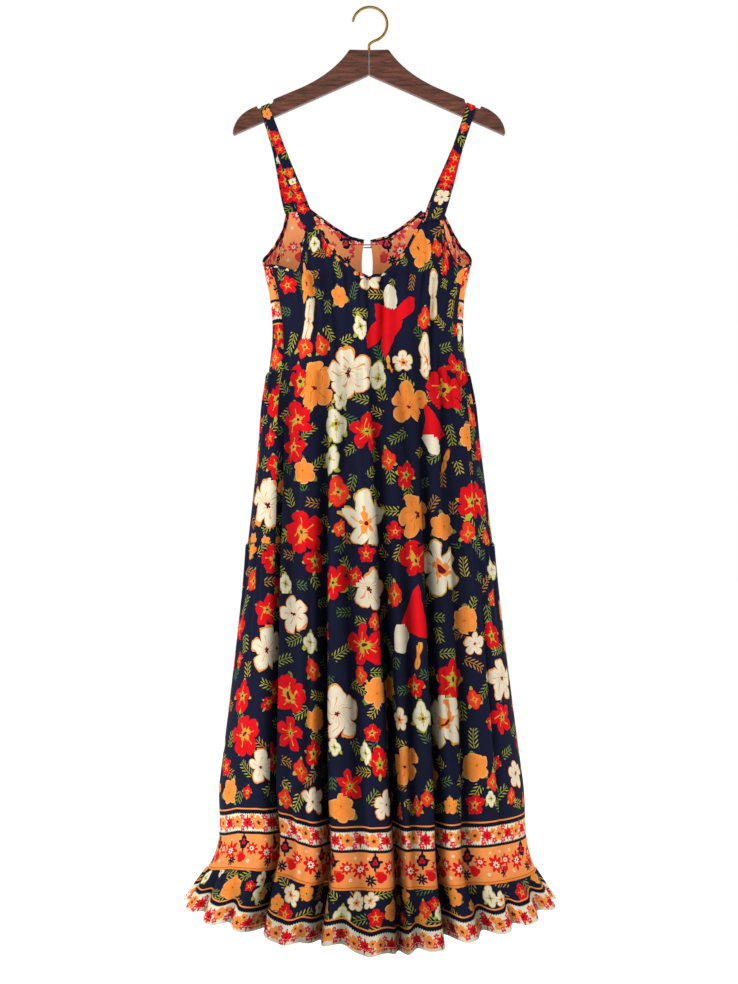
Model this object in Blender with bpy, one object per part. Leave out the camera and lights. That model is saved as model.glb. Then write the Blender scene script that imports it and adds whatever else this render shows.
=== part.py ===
"""A sleeveless maxi dress with a gathered neck, two straps and a ruffled hem, on a wooden hanger.

Metres, +Z up, the front of the dress towards -Y. The origin is the inside of the hook's crown, where a rail
carries the hanger. The cloth is one closed ring of sections from neck to hem, cut into its sewn pieces.
"""

import math
from collections import namedtuple

import bmesh
import bpy
import numpy as np
from mathutils import Vector

# Driving sizes of the cloth, in metres.
CLOTH = 0.0015
SEAM_GAP = 0.0004
BODICE_SEAM = -0.597
TIER_SEAM = -0.875
RUFFLE_SEAM = -1.410
HEM = -1.458
RUFFLE_WAVES = 25
RUFFLE_WAVE_DEPTH = 0.0085
RUFFLE_WAVE_DIP = 0.0055
TIER_GATHERS = 30
TIER_GATHER_DEPTH = 0.0022
NECK_GATHERS = 72
NECK_GATHER_DEPTH = 0.0020
NECK_GATHER_MIDDLE = 0.258
NECK_GATHER_REACH = 0.115
NECK_GATHER_FADE = 0.070
TIER_GATHER_FADE = 0.030
RUFFLE_WAVE_AT_SEAM = 0.16

# The level sections of the dress: half its width, its depth in front of and behind the middle, and the
# sideways place of its middle.
SECTION_COLUMNS = ("height", "half_width", "front", "back", "middle")
SECTIONS = (
    (-0.300, 0.166, 0.030, 0.028, -0.003),
    (-0.360, 0.168, 0.046, 0.038, -0.003),
    (-0.418, 0.170, 0.062, 0.047, -0.003),
    (-0.470, 0.160, 0.071, 0.053, -0.003),
    (-0.520, 0.156, 0.075, 0.057, -0.002),
    (-0.597, 0.163, 0.079, 0.062, -0.001),
    (-0.645, 0.173, 0.086, 0.068, 0.000),
    (-0.725, 0.182, 0.094, 0.075, 0.001),
    (-0.875, 0.200, 0.108, 0.086, 0.002),
    (-1.070, 0.223, 0.124, 0.098, 0.003),
    (-1.265, 0.248, 0.137, 0.109, 0.004),
    (-1.410, 0.268, 0.146, 0.117, 0.005),
    (-1.435, 0.284, 0.160, 0.131, 0.003),
    (-1.458, 0.298, 0.174, 0.146, 0.002),
)

# How far the hem hangs below its height at the left side, across the dress at the front and the back.
HEM_COLUMNS = ("place", "front", "back")
HEM_DROPS = (
    (-1.00, 0.003, 0.003),
    (-0.85, 0.015, 0.010),
    (-0.70, 0.017, 0.015),
    (-0.55, 0.025, 0.021),
    (-0.40, 0.034, 0.026),
    (-0.25, 0.031, 0.029),
    (-0.12, 0.036, 0.031),
    (0.05, 0.048, 0.032),
    (0.20, 0.046, 0.030),
    (0.33, 0.038, 0.027),
    (0.45, 0.031, 0.023),
    (0.60, 0.025, 0.018),
    (0.75, 0.019, 0.012),
    (0.88, 0.012, 0.007),
    (1.00, 0.003, 0.003),
)

# The deep folds: their place across the front or back as a share of the half width, at the bodice seam and
# at the ruffle, how deep and wide they are at the ruffle, how far one edge leans over, and where they begin.
Fold = namedtuple("Fold", ("side", "place_top", "place_low", "depth", "width", "lean", "begins"))
FOLDS = (
    Fold("front", -0.84, -0.60, 0.040, 0.0088, 0.007, -0.430),
    Fold("front", -0.42, -0.28, 0.046, 0.0092, 0.009, -0.440),
    Fold("front", 0.05, 0.155, 0.048, 0.0090, -0.008, -0.470),
    Fold("front", 0.49, 0.405, 0.044, 0.0088, -0.008, -0.440),
    Fold("back", 0.66, 0.62, 0.036, 0.0092, 0.007, -0.560),
    Fold("back", 0.25, 0.22, 0.040, 0.0095, -0.007, -0.540),
    Fold("back", -0.18, -0.15, 0.036, 0.0090, 0.006, -0.600),
    Fold("back", -0.60, -0.56, 0.038, 0.0092, -0.007, -0.520),
)

# The soft undulations between the deep folds, in the same columns without a lean.
Swell = namedtuple("Swell", ("side", "place", "depth", "width", "begins"))
SWELLS = (
    Swell("front", -0.60, 0.008, 0.014, -0.420),
    Swell("front", -0.13, 0.010, 0.013, -0.440),
    Swell("front", 0.27, 0.009, 0.012, -0.420),
    Swell("front", 0.66, 0.012, 0.014, -0.430),
    Swell("back", 0.86, 0.010, 0.015, -0.450),
    Swell("back", 0.45, 0.009, 0.014, -0.450),
    Swell("back", 0.03, 0.010, 0.014, -0.450),
    Swell("back", -0.38, 0.009, 0.014, -0.450),
    Swell("back", -0.84, 0.010, 0.016, -0.450),
)

# How soon the folds grow on the way down, and where and how widely their edges lean, in fold widths.
FOLD_GROWTH = 1.15
FOLD_GROWTH_POWER = 0.8
FOLD_LEAN_PLACE = 1.25
FOLD_LEAN_SPREAD = 0.8
SWELL_REACH = 0.55

# The rows of the pieces, as shares of the way from the top edge of each to its foot.
BODICE_LEVELS = (0.0, 0.09, 0.18, 0.27, 0.34, 0.40, 0.58, 0.79, 1.0)
MIDDLE_TIER_LEVELS = (0.0, 0.10, 0.28, 0.50, 0.75, 1.0)
LOWER_TIER_LEVELS = (0.0, 0.07, 0.25, 0.50, 0.75, 1.0)
RUFFLE_LEVELS = (0.0, 0.45, 1.0)

# The columns of the pieces. The bodice counts its steps along the rim from corner to corner of the straps.
MIDDLE_TIER_COUNT = 48
LOWER_TIER_COUNT = 52
RUFFLE_FRONT_COUNT = 88
RUFFLE_BACK_COUNT = 116
FRONT_RIM_STEPS = (12, 3, 42, 4, 10)
BACK_LEFT_RIM_STEPS = (11, 4, 14)
BACK_RIGHT_RIM_STEPS = (12, 4, 11)

# The side seams, as a share of the half width, both on the front half of the ring.
LEFT_SEAM = (-0.87, -0.64)
RIGHT_SEAM = (0.92, 0.80)

# The top edges of the bodice, left to right.
EDGE_COLUMNS = ("across", "height")
FRONT_EDGE = (
    (-0.173, -0.420),
    (-0.150, -0.429),
    (-0.134, -0.435),
    (-0.120, -0.441),
    (-0.111, -0.437),
    (-0.106, -0.424),
    (-0.102, -0.392),
    (-0.099, -0.371),
    (-0.080, -0.369),
    (-0.064, -0.399),
    (-0.044, -0.423),
    (-0.022, -0.444),
    (0.000, -0.452),
    (0.024, -0.447),
    (0.045, -0.429),
    (0.063, -0.402),
    (0.077, -0.374),
    (0.0885, -0.355),
    (0.115, -0.351),
    (0.119, -0.374),
    (0.127, -0.404),
    (0.136, -0.422),
    (0.146, -0.431),
    (0.156, -0.428),
    (0.167, -0.421),
)
BACK_EDGE = (
    (-0.173, -0.420),
    (-0.165, -0.404),
    (-0.154, -0.3895),
    (-0.139, -0.3600),
    (-0.1325, -0.331),
    (-0.100, -0.327),
    (-0.086, -0.337),
    (-0.060, -0.355),
    (-0.030, -0.372),
    (0.000, -0.378),
    (0.030, -0.371),
    (0.056, -0.355),
    (0.078, -0.339),
    (0.090, -0.329),
    (0.118, -0.329),
    (0.137, -0.367),
    (0.150, -0.391),
    (0.167, -0.421),
)

NECK_LOWEST = -0.440

# Corners of those edges where the straps are sewn on: left and right ends.
FRONT_STRAP_LEFT = (-0.099, -0.080)
FRONT_STRAP_RIGHT = (0.0885, 0.115)
BACK_STRAP_LEFT = (-0.1325, -0.100)
BACK_STRAP_RIGHT = (0.090, 0.118)

# The opening at the middle of the back neck.
KEYHOLE_TOP = -0.378
KEYHOLE_LENGTH = 0.079
KEYHOLE_HALF_WIDTH = 0.009
KEYHOLE_WIDEST = 0.45
FACING_WIDTH = 0.013
FACING_THICK = 0.0012
BUTTON_DROP = 0.005
LOOP_CORD = 0.0012

# The button's outline, from the foot of its shank outwards: radius and height.
BUTTON_PROFILE = (
    (0.0014, 0.0000),
    (0.0014, 0.0020),
    (0.0036, 0.0023),
    (0.0040, 0.0033),
    (0.0030, 0.0046),
    (0.0010, 0.0052),
)

# The outline of a folded strip with rounded edges, in halves of its width and thickness.
STRIP_OUTLINE = (
    (-1.00, -0.55),
    (-0.72, -1.00),
    (0.72, -1.00),
    (1.00, -0.55),
    (1.00, 0.55),
    (0.72, 1.00),
    (-0.72, 1.00),
    (-1.00, 0.55),
)

# Bindings and straps.
BINDING_WIDTH = 0.0055
BINDING_THICK = 0.0030
BINDING_GAP = 0.0006
NECK_INSET = 0.0030
ARMHOLE_INSET = 0.0024
STRAP_THICK = 0.0024
STRAP_WIDTH = 0.0165
STRAP_STEPS = 7
STRAP_PLACES = (-0.1690, 0.1662)
STRAP_OVER_ARMHOLE = 0.0050
STRAP_GAP = 0.0006
STRAP_BEND_DROP = 0.0065
STRAP_BEND_CORNER = 0.0021
STRAP_BEND_TOP = 0.0030

# The strip that faces the keyhole, and how close the columns of a binding may come to its ends.
FACING_EDGE_GAP = 0.0006
FACING_TOP_GAP = 0.002
FACING_REACH = (0.02, 0.97)
FACING_LEVELS = 9
BINDING_HEIGHT = -0.42
NEAREST_COLUMN = 2e-3

# The hanger and its hook.
HANGER_HALF = 0.2215
HANGER_THICK = 0.013
HANGER_TOP = -0.0695
HANGER_CREST = 0.0335
HANGER_CREST_BEND = (0.060, -0.110)
HANGER_ARM_START = (0.113, -0.1342)
HANGER_ARM_SLOPE = 0.4335
HANGER_SHOULDER = 0.184
HANGER_TIP_BEND = (0.2165, -0.178)
HANGER_TIP_HEIGHT = -0.206
HANGER_TOE_HEIGHT = -0.2122
HANGER_EDGE_ROUND = 0.0016
HANGER_UNDER = -0.1098
HANGER_UNDER_SLOPE = 0.463
HANGER_SWEEP = math.radians(4)
NOTCH_MIDDLE = 0.1690
NOTCH_LENGTH = 0.027
NOTCH_DEPTH = 0.0058
NOTCH_SLANT = 0.0018
MITRE_GAP = 0.0003
WIRE = 0.0046
HOOK_RADIUS = 0.0282
HOOK_OFFSET = 0.0015
HOOK_TIP = math.radians(172)
HOOK_TURN = math.radians(238)
HOOK_TIP_TAPER = 0.72
HOOK_STEPS = 26
HOOK_NECK_BEND = (0.0004, -0.0560)
HOOK_NECK_FOOT = (0.0, -0.0620)
HOOK_SHANK_GAP = 0.0003

NAVY = (0.011, 0.014, 0.040)
ORANGE = (1.0, 0.36, 0.075)
WALNUT = (0.105, 0.038, 0.024)
BRASS = (0.42, 0.27, 0.09)
INK = (0.004, 0.004, 0.006)


def column(table, columns, name):
    """One named column of a table as an array."""
    return np.array([row[columns.index(name)] for row in table])


def smooth_table(xs, ys, x):
    """A cubic curve through the rows of a table, with xs in either order."""
    order = np.argsort(xs)
    xs, ys = xs[order], ys[order]
    slopes = np.gradient(ys, xs)
    x = np.clip(x, xs[0], xs[-1])
    low = np.clip(np.searchsorted(xs, x, side="right") - 1, 0, len(xs) - 2)
    span = xs[low + 1] - xs[low]
    s = (x - xs[low]) / span
    start = (1 + 2 * s) * (1 - s) ** 2 * ys[low] + s * (1 - s) ** 2 * span * slopes[low]
    end = s * s * (3 - 2 * s) * ys[low + 1] + s * s * (s - 1) * span * slopes[low + 1]
    return start + end


def unit(vectors):
    """Vectors made one long."""
    return vectors / np.linalg.norm(vectors, axis=-1, keepdims=True)


def eased(x):
    """0 before 0, 1 after 1, and smooth between."""
    x = np.clip(x, 0, 1)
    return x * x * (3 - 2 * x)


def section(name, z):
    """A size of the level section at height z."""
    heights = column(SECTIONS, SECTION_COLUMNS, "height")
    return smooth_table(heights, column(SECTIONS, SECTION_COLUMNS, name), z)


def way_down(z):
    """0 at the bodice seam and 1 at the ruffle."""
    return np.clip((BODICE_SEAM - z) / (BODICE_SEAM - RUFFLE_SEAM), -0.35, 1.0)


def angle_of(side, place):
    """The angle round the ring, from 0 at the left through the front, of a place across it."""
    turn = np.arccos(np.clip(-np.asarray(place, float), -1, 1))
    return turn if side == "front" else 2 * math.pi - turn


def knots():
    """What the cloth's columns follow down the dress: side, place at the bodice seam, place at the ruffle."""
    found = [("front", *LEFT_SEAM), ("front", *RIGHT_SEAM)]
    found += [(fold.side, fold.place_top, fold.place_low) for fold in FOLDS]
    return sorted(found, key=lambda k: angle_of(k[0], (k[1] + k[2]) / 2))


KNOTS = knots()
KNOT_TURNS = np.array([angle_of(k[0], (k[1] + k[2]) / 2) for k in KNOTS]) / (2 * math.pi)


def turn_of(side, place):
    """The column that lies at this place, midway down the skirt."""
    return float(angle_of(side, place)) / (2 * math.pi)


LEFT_SEAM_TURN = turn_of("front", sum(LEFT_SEAM) / 2)
RIGHT_SEAM_TURN = turn_of("front", sum(RIGHT_SEAM) / 2)
BACK_MIDDLE_TURN = 0.75


def ring_angle(turn, z):
    """The angle round the ring of a column of the cloth at height z."""
    turn, z = np.broadcast_arrays(np.asarray(turn, float), np.asarray(z, float))
    down = way_down(z)
    angles = []
    for side, top, low in KNOTS:
        angles.append(angle_of(side, top + (low - top) * down))
    angles = [angles[-1] - 2 * math.pi, *angles, angles[0] + 2 * math.pi]
    turns = [KNOT_TURNS[-1] - 1, *KNOT_TURNS, KNOT_TURNS[0] + 1]
    wrapped = (turn - turns[1]) % 1.0 + turns[1]
    result = np.zeros_like(wrapped)
    for i in range(len(turns) - 1):
        share = (wrapped - turns[i]) / (turns[i + 1] - turns[i])
        inside = (share >= 0) & (share <= 1)
        result = np.where(inside, angles[i] + share * (angles[i + 1] - angles[i]), result)
    return result


def apart(turn, centre):
    """How far a column is from another the short way round."""
    return (turn - centre + 0.5) % 1.0 - 0.5


def fold_turn(fold):
    """The column of a fold's deepest line."""
    return turn_of(fold.side, (fold.place_top + fold.place_low) / 2)


def fold_pull(turn, z):
    """How far the deep folds and swells pull the cloth in, and how far they push it sideways."""
    inward = np.zeros(np.broadcast(turn, z).shape)
    sideways = np.zeros_like(inward)
    for fold in FOLDS:
        down = (fold.begins - z) / (fold.begins - RUFFLE_SEAM)
        grown = eased(down * FOLD_GROWTH) ** FOLD_GROWTH_POWER
        off = apart(turn, fold_turn(fold)) / fold.width
        inward = inward + fold.depth * grown * np.exp(-off * off)
        edge = off - FOLD_LEAN_PLACE * np.sign(fold.lean)
        sideways = sideways - fold.lean * grown * np.exp(-edge * edge / FOLD_LEAN_SPREAD)
    for swell in SWELLS:
        grown = eased((swell.begins - z) / SWELL_REACH)
        off = apart(turn, turn_of(swell.side, swell.place)) / swell.width
        inward = inward + swell.depth * grown * np.exp(-off * off)
    return inward, sideways


def wandering(turn, count, drift):
    """The phase of a row of waves whose widths differ."""
    full = 2 * math.pi
    return full * count * turn + drift * (np.sin(full * 3 * turn + 1) + 0.7 * np.sin(full * 7 * turn + 2))


def gather_pull(turn, z):
    """The small gathers under the neck and the tier seams and the waves of the ruffle."""
    neck = eased((NECK_GATHER_REACH - np.abs(apart(turn, NECK_GATHER_MIDDLE))) / 0.03)
    below = np.clip(NECK_LOWEST - z, 0, 1)
    neck_fade = neck * np.exp(-below / NECK_GATHER_FADE) * (z > BODICE_SEAM)
    pull = NECK_GATHER_DEPTH * neck_fade * np.sin(wandering(turn, NECK_GATHERS, 0.8))
    for seam, end in ((BODICE_SEAM, TIER_SEAM), (TIER_SEAM, RUFFLE_SEAM)):
        fade = np.exp(-np.clip(seam - z, 0, 1) / TIER_GATHER_FADE) * (z <= seam) * (z > end)
        pull = pull + TIER_GATHER_DEPTH * fade * np.sin(wandering(turn, TIER_GATHERS, 0.6))
    down = np.clip((RUFFLE_SEAM - z) / (RUFFLE_SEAM - HEM), 0, 1)
    phase = wandering(turn, RUFFLE_WAVES, 0.55)
    valley = ((1 + np.sin(phase)) / 2) ** 2
    grown = RUFFLE_WAVE_AT_SEAM + (1 - RUFFLE_WAVE_AT_SEAM) * down
    wave = RUFFLE_WAVE_DEPTH * grown * (2 * valley - 1)
    return pull + wave * (z <= RUFFLE_SEAM), RUFFLE_WAVE_DIP * down * valley


def ring_base(angle, z):
    """The plain oval of the section at height z."""
    cosine, sine = np.cos(angle), np.sin(angle)
    x = section("middle", z) - section("half_width", z) * cosine
    y = -np.where(sine > 0, section("front", z), section("back", z)) * sine
    return x, y


def hem_drop(angle):
    """How far the hem hangs below its height at the left side."""
    place = -np.cos(angle)
    places = column(HEM_DROPS, HEM_COLUMNS, "place")
    front = smooth_table(places, column(HEM_DROPS, HEM_COLUMNS, "front"), place)
    back = smooth_table(places, column(HEM_DROPS, HEM_COLUMNS, "back"), place)
    return np.where(np.sin(angle) > 0, front, back)


def cloth_point(turn, z):
    """A point of the middle of the cloth, in its column and at the height z of its section."""
    turn, z = np.broadcast_arrays(np.asarray(turn, float), np.asarray(z, float))
    angle = ring_angle(turn, z)
    x, y = ring_base(angle, z)
    step = 1e-3
    ahead_x, ahead_y = ring_base(angle + step, z)
    along_x, along_y = ahead_x - x, ahead_y - y
    length = np.hypot(along_x, along_y)
    along_x, along_y = along_x / length, along_y / length
    inward, lean = fold_pull(turn, z)
    wave, lift = gather_pull(turn, z)
    inward = inward + wave
    x = x - along_y * inward + along_x * lean
    y = y + along_x * inward + along_y * lean
    down = np.clip((RUFFLE_SEAM - z) / (RUFFLE_SEAM - HEM), 0, 1)
    return np.stack([x, y, z - down * hem_drop(angle) + lift], axis=-1)


def cloth_normal(turn, z):
    """The outward normal of the cloth there."""
    turn, z = np.broadcast_arrays(np.asarray(turn, float), np.asarray(z, float))
    dt, dz = 4e-4, 5e-4
    across = cloth_point(turn + dt, z) - cloth_point(turn - dt, z)
    up = cloth_point(turn, z + dz) - cloth_point(turn, z - dz)
    return unit(np.cross(across, up))


def column_at(side, x, z):
    """The column of the cloth that passes a place across the front or back at height z."""
    across = (x - section("middle", z)) / section("half_width", z)
    wanted = float(angle_of(side, float(np.clip(across, -1, 1))))
    turns = np.linspace(KNOT_TURNS[-1] - 1, KNOT_TURNS[0] + 1, 2001)
    angles = np.unwrap(ring_angle(turns, z))
    for whole in (-2 * math.pi, 0, 2 * math.pi):
        if angles[0] <= wanted + whole <= angles[-1]:
            return float(np.interp(wanted + whole, angles, turns)) % 1.0
    return 0.0


def edge_heights(side):
    """The height of each listed place across the top edge of the front or back."""
    table = FRONT_EDGE if side == "front" else BACK_EDGE
    across = column(table, EDGE_COLUMNS, "across").tolist()
    return dict(zip(across, column(table, EDGE_COLUMNS, "height").tolist()))


def rim_columns():
    """The top edge of the bodice as columns and heights, from the middle of the back by the left side."""
    front = sorted((column_at("front", x, z), z) for x, z in edge_heights("front").items())
    back = [(column_at("back", x, z), z) for x, z in edge_heights("back").items()]
    middle = edge_heights("back")[0.0]
    left = sorted((t - 1, z) for t, z in back if t > BACK_MIDDLE_TURN + 0.002)
    right = sorted((t, z) for t, z in back if 0.5 < t < BACK_MIDDLE_TURN - 0.002)
    around = [(BACK_MIDDLE_TURN - 1, middle), *left, *front, *right, (BACK_MIDDLE_TURN, middle)]
    return np.array([turn for turn, _ in around]), np.array([z for _, z in around])


RIM_TURNS, RIM_HEIGHTS = rim_columns()


def rim_height(turn):
    """The height at which a column of the bodice ends."""
    wrapped = (np.asarray(turn, float) + 0.25) % 1.0 - 0.25
    return np.interp(wrapped, RIM_TURNS, RIM_HEIGHTS)


def rim_run(start, end, counts, corners):
    """Columns along the rim: so many steps to each corner and from the last corner to the end."""
    fine = np.linspace(start, end, 3001)
    points = cloth_point(fine, rim_height(fine))
    length = np.concatenate([[0], np.cumsum(np.linalg.norm(np.diff(points, axis=0), axis=1))])
    stops = sorted([0.0, *[float(np.interp(c, fine, length)) for c in corners], length[-1]])
    places = [0.0]
    for low, high, steps in zip(stops, stops[1:], counts):
        places += [low + (high - low) * (i + 1) / steps for i in range(steps)]
    return np.interp(places, length, fine)


def material(name, color, roughness, metallic=0.0):
    """A plain finish."""
    made = bpy.data.materials.new(name)
    made.use_nodes = True
    shader = made.node_tree.nodes["Principled BSDF"]
    shader.inputs["Base Color"].default_value = (*color, 1)
    shader.inputs["Roughness"].default_value = roughness
    shader.inputs["Metallic"].default_value = metallic
    return made


def add_object(name, mesh, finish):
    """Puts a mesh in the scene as one piece."""
    mesh.materials.append(finish)
    made = bpy.data.objects.new(name, mesh)
    bpy.context.scene.collection.objects.link(made)
    return made


def wall_mesh(name, outer, inner):
    """A closed wall between two grids of points, in rows from the top and columns from the left."""
    rows, columns = outer.shape[:2]
    count = rows * columns
    faces = []
    for r in range(rows - 1):
        for c in range(columns - 1):
            a, b = r * columns + c, (r + 1) * columns + c
            faces.append((a, b, b + 1, a + 1))
            faces.append((count + a, count + a + 1, count + b + 1, count + b))
    rim = [c for c in range(columns)]
    rim += [r * columns + columns - 1 for r in range(1, rows)]
    rim += [(rows - 1) * columns + c for c in range(columns - 2, -1, -1)]
    rim += [r * columns for r in range(rows - 2, 0, -1)]
    for here, there in zip(rim, rim[1:] + rim[:1]):
        faces.append((here, there, count + there, count + here))
    mesh = bpy.data.meshes.new(name)
    points = np.concatenate([outer.reshape(-1, 3), inner.reshape(-1, 3)])
    mesh.from_pydata(points.tolist(), [], faces)
    mesh.validate()
    mesh.shade_smooth()
    mesh.set_sharp_from_angle(angle=math.radians(50))
    return mesh


def cloth_wall(name, turns, heights, finish, thick=CLOTH, lift=0.0, level_rows=()):
    """A piece of the dress from grids of columns and heights. Rows that meet another piece end level."""
    middle, normal = cloth_point(turns, heights), cloth_normal(turns, heights)
    for row in level_rows:
        normal[row, :, 2] = 0
        normal[row] = unit(normal[row])
    outer = middle + normal * (lift + thick / 2)
    inner = middle + normal * (lift - thick / 2)
    return add_object(name, wall_mesh(name, outer, inner), finish)


def ring_length(z):
    """The length of the plain oval at height z."""
    angles = np.linspace(0, 2 * math.pi, 361)
    x, y = ring_base(angles, np.full_like(angles, z))
    return float(np.hypot(np.diff(x), np.diff(y)).sum())


def even_turns(start, end, count, z):
    """Evenly spaced columns from one seam to another, held off each by half the seam gap."""
    gap = SEAM_GAP / 2 / ring_length(z)
    return np.linspace(start + gap, end - gap, count)


def crowded_turns(start, end, count, z):
    """Columns from one seam to another, closer together at the folds."""
    gap = SEAM_GAP / 2 / ring_length(z)
    fine = np.linspace(start + gap, end - gap, 2001)
    crowd = np.ones_like(fine)
    for fold in FOLDS:
        off = apart(fine, fold_turn(fold)) / (2.2 * fold.width)
        crowd += 1.3 * np.exp(-off * off)
    total = np.concatenate([[0], np.cumsum((crowd[1:] + crowd[:-1]) / 2)])
    return np.interp(np.linspace(0, total[-1], count), total, fine)


def tier(name, start, end, top, low, count, levels, finish):
    """One panel of a tier between two side seams."""
    shape = (len(levels), count)
    turns = np.broadcast_to(crowded_turns(start, end, count, low), shape)
    shares = np.array(levels)[:, None]
    heights = np.broadcast_to(top - SEAM_GAP / 2 + (low - top + SEAM_GAP) * shares, shape)
    return cloth_wall(name, turns, heights, finish, level_rows=(0, -1))


def ruffle(name, start, end, count, finish):
    """One half of the hem ruffle."""
    turns = even_turns(start, end, count, HEM)
    levels = np.array(RUFFLE_LEVELS)[:, None]
    heights = RUFFLE_SEAM - SEAM_GAP / 2 + (HEM - RUFFLE_SEAM + SEAM_GAP / 2) * levels
    shape = (len(levels), count)
    turns, heights = np.broadcast_to(turns, shape), np.broadcast_to(heights, shape)
    return cloth_wall(name, turns, heights, finish, level_rows=(0,))


def corner_columns(side, places):
    """The columns of the two ends of a strap."""
    heights = edge_heights(side)
    return [column_at(side, x, heights[x]) for x in places]


def fanned(top, low, levels):
    """Columns and heights of a bodice panel whose top follows the rim and whose foot follows the seam."""
    shares = np.array(levels)[:, None]
    tops = rim_height(top)
    turns = top + (low - top) * shares
    heights = tops + (BODICE_SEAM + SEAM_GAP / 2 - tops) * shares
    return turns, heights


def front_rim():
    """The columns of the front's top edge, between its side seams."""
    gap = SEAM_GAP / 2 / ring_length(BODICE_SEAM)
    corners = corner_columns("front", (*FRONT_STRAP_LEFT, *FRONT_STRAP_RIGHT))
    return rim_run(LEFT_SEAM_TURN + gap, RIGHT_SEAM_TURN - gap, FRONT_RIM_STEPS, corners)


def bodice_front(finish):
    """The gathered front, from the scoop neck down to the bodice seam."""
    top = front_rim()
    low = np.linspace(top[0], top[-1], len(top))
    turns, heights = fanned(top, low, BODICE_LEVELS)
    return cloth_wall("bodice_front", turns, heights, finish, level_rows=(-1,))


def keyhole_half_width(z):
    """Half the width of the keyhole at height z, and half a seam gap below it."""
    share = (KEYHOLE_TOP - z) / KEYHOLE_LENGTH
    bend = np.clip(1 - ((share - KEYHOLE_WIDEST) / (1 - KEYHOLE_WIDEST)) ** 2, 0, 1)
    return np.maximum(KEYHOLE_HALF_WIDTH * np.sqrt(bend), SEAM_GAP / 2)


def back_edge_turn(z, hand, extra=0.0):
    """The column of the centre back edge at height z, on the left (-1) or right (+1) of the keyhole."""
    z = np.asarray(z, float)
    x = section("middle", z) + hand * (keyhole_half_width(z) + extra)
    return np.vectorize(column_at)("back", x, z)


def back_rim(hand):
    """The columns of the top edge of half the back, from low to high; the left half begins at -0.25."""
    gap = SEAM_GAP / 2 / ring_length(BODICE_SEAM)
    corners = corner_columns("back", BACK_STRAP_LEFT if hand < 0 else BACK_STRAP_RIGHT)
    middle = float(back_edge_turn(np.array(KEYHOLE_TOP), hand))
    if hand < 0:
        return rim_run(middle - 1, LEFT_SEAM_TURN - gap, BACK_LEFT_RIM_STEPS, [c - 1 for c in corners])
    return rim_run(RIGHT_SEAM_TURN + gap, middle, BACK_RIGHT_RIM_STEPS, corners)


def bodice_back(name, hand, finish):
    """Half of the back, from its seam to the side round to the keyhole and the centre back seam."""
    top = back_rim(hand)
    low = np.linspace(top[0], top[-1], len(top))
    turns, heights = fanned(top, low, BODICE_LEVELS)
    if hand < 0:
        first = back_edge_turn(heights[:, :1], hand) - 1
        share = (top[-1] - turns) / (top[-1] - turns[:, :1])
        turns = top[-1] + (first - top[-1]) * share
    else:
        last = back_edge_turn(heights[:, -1:], hand)
        share = (turns - top[0]) / (turns[:, -1:] - top[0])
        turns = top[0] + (last - top[0]) * share
    return cloth_wall(name, turns, heights, finish, level_rows=(-1,))


def keyhole_facing(name, hand, finish):
    """The strip that faces one edge of the keyhole on the inside."""
    levels = np.linspace(*FACING_REACH, FACING_LEVELS)[:, None]
    heights = KEYHOLE_TOP - FACING_TOP_GAP - KEYHOLE_LENGTH * levels
    near = back_edge_turn(heights, hand, FACING_EDGE_GAP)
    far = back_edge_turn(heights, hand, FACING_WIDTH)
    first, last = (near, far) if hand < 0 else (far, near)
    turns = first + (last - first) * np.linspace(0, 1, 3)
    lift = -(CLOTH / 2 + 0.0003 + FACING_THICK / 2)
    heights = np.broadcast_to(heights, turns.shape)
    return cloth_wall(name, turns, heights, finish, FACING_THICK, lift)


def swept(name, path, widths, thick, finish):
    """A strip with rounded edges along a path of points, with the ways across it and out of its face."""
    points, across, out = path
    half = np.broadcast_to(np.asarray(widths) / 2, (len(points),))[:, None]
    rings = [points + across * (half * a) + out * (thick / 2 * b) for a, b in STRIP_OUTLINE]
    grid = np.stack(rings, axis=1)
    rows, sides = grid.shape[:2]
    bm = bmesh.new()
    made = [[bm.verts.new(grid[r, s]) for s in range(sides)] for r in range(rows)]
    for r in range(rows - 1):
        for s in range(sides):
            t = (s + 1) % sides
            bm.faces.new((made[r][s], made[r][t], made[r + 1][t], made[r + 1][s]))
    bm.faces.new(made[0][::-1])
    bm.faces.new(made[-1])
    bmesh.ops.recalc_face_normals(bm, faces=bm.faces)
    mesh = bpy.data.meshes.new(name)
    bm.to_mesh(mesh)
    bm.free()
    mesh.shade_smooth()
    mesh.set_sharp_from_angle(angle=math.radians(40))
    return add_object(name, mesh, finish)


def edge_binding(name, turns, finish):
    """The binding along a run of the rim, standing on the cloth's edge."""
    tops = rim_height(turns)
    edge, out = cloth_point(turns, tops), cloth_normal(turns, tops)
    steps = unit(np.diff(edge, axis=0))
    along = unit(np.concatenate([steps[:1], steps[1:] + steps[:-1], steps[-1:]]))
    across = unit(np.cross(out, along))
    across *= np.sign(across[:, 2].mean())
    out = unit(np.cross(along, across)) * np.sign((out * np.cross(along, across)).sum(axis=1, keepdims=True))
    turn = np.clip((steps[1:] * steps[:-1]).sum(axis=1), -1, 1)
    stretch = np.concatenate([[1], 1 / np.cos(np.arccos(turn) / 2), [1]])[:, None]
    middle = edge + across * stretch * (BINDING_GAP + BINDING_WIDTH / 2)
    return swept(name, (middle, across, out), BINDING_WIDTH, BINDING_THICK, finish)


def run_of(columns, start, end, inset):
    """The columns of a rim strictly between two corners, held a little off them along the rim."""
    low, high = min(start, end), max(start, end)
    speed = ring_length(BINDING_HEIGHT)
    first, last = low + inset / speed, high - inset / speed
    inner = [c for c in columns if first + NEAREST_COLUMN < c < last - NEAREST_COLUMN]
    return np.array([first, *inner, last])


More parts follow.
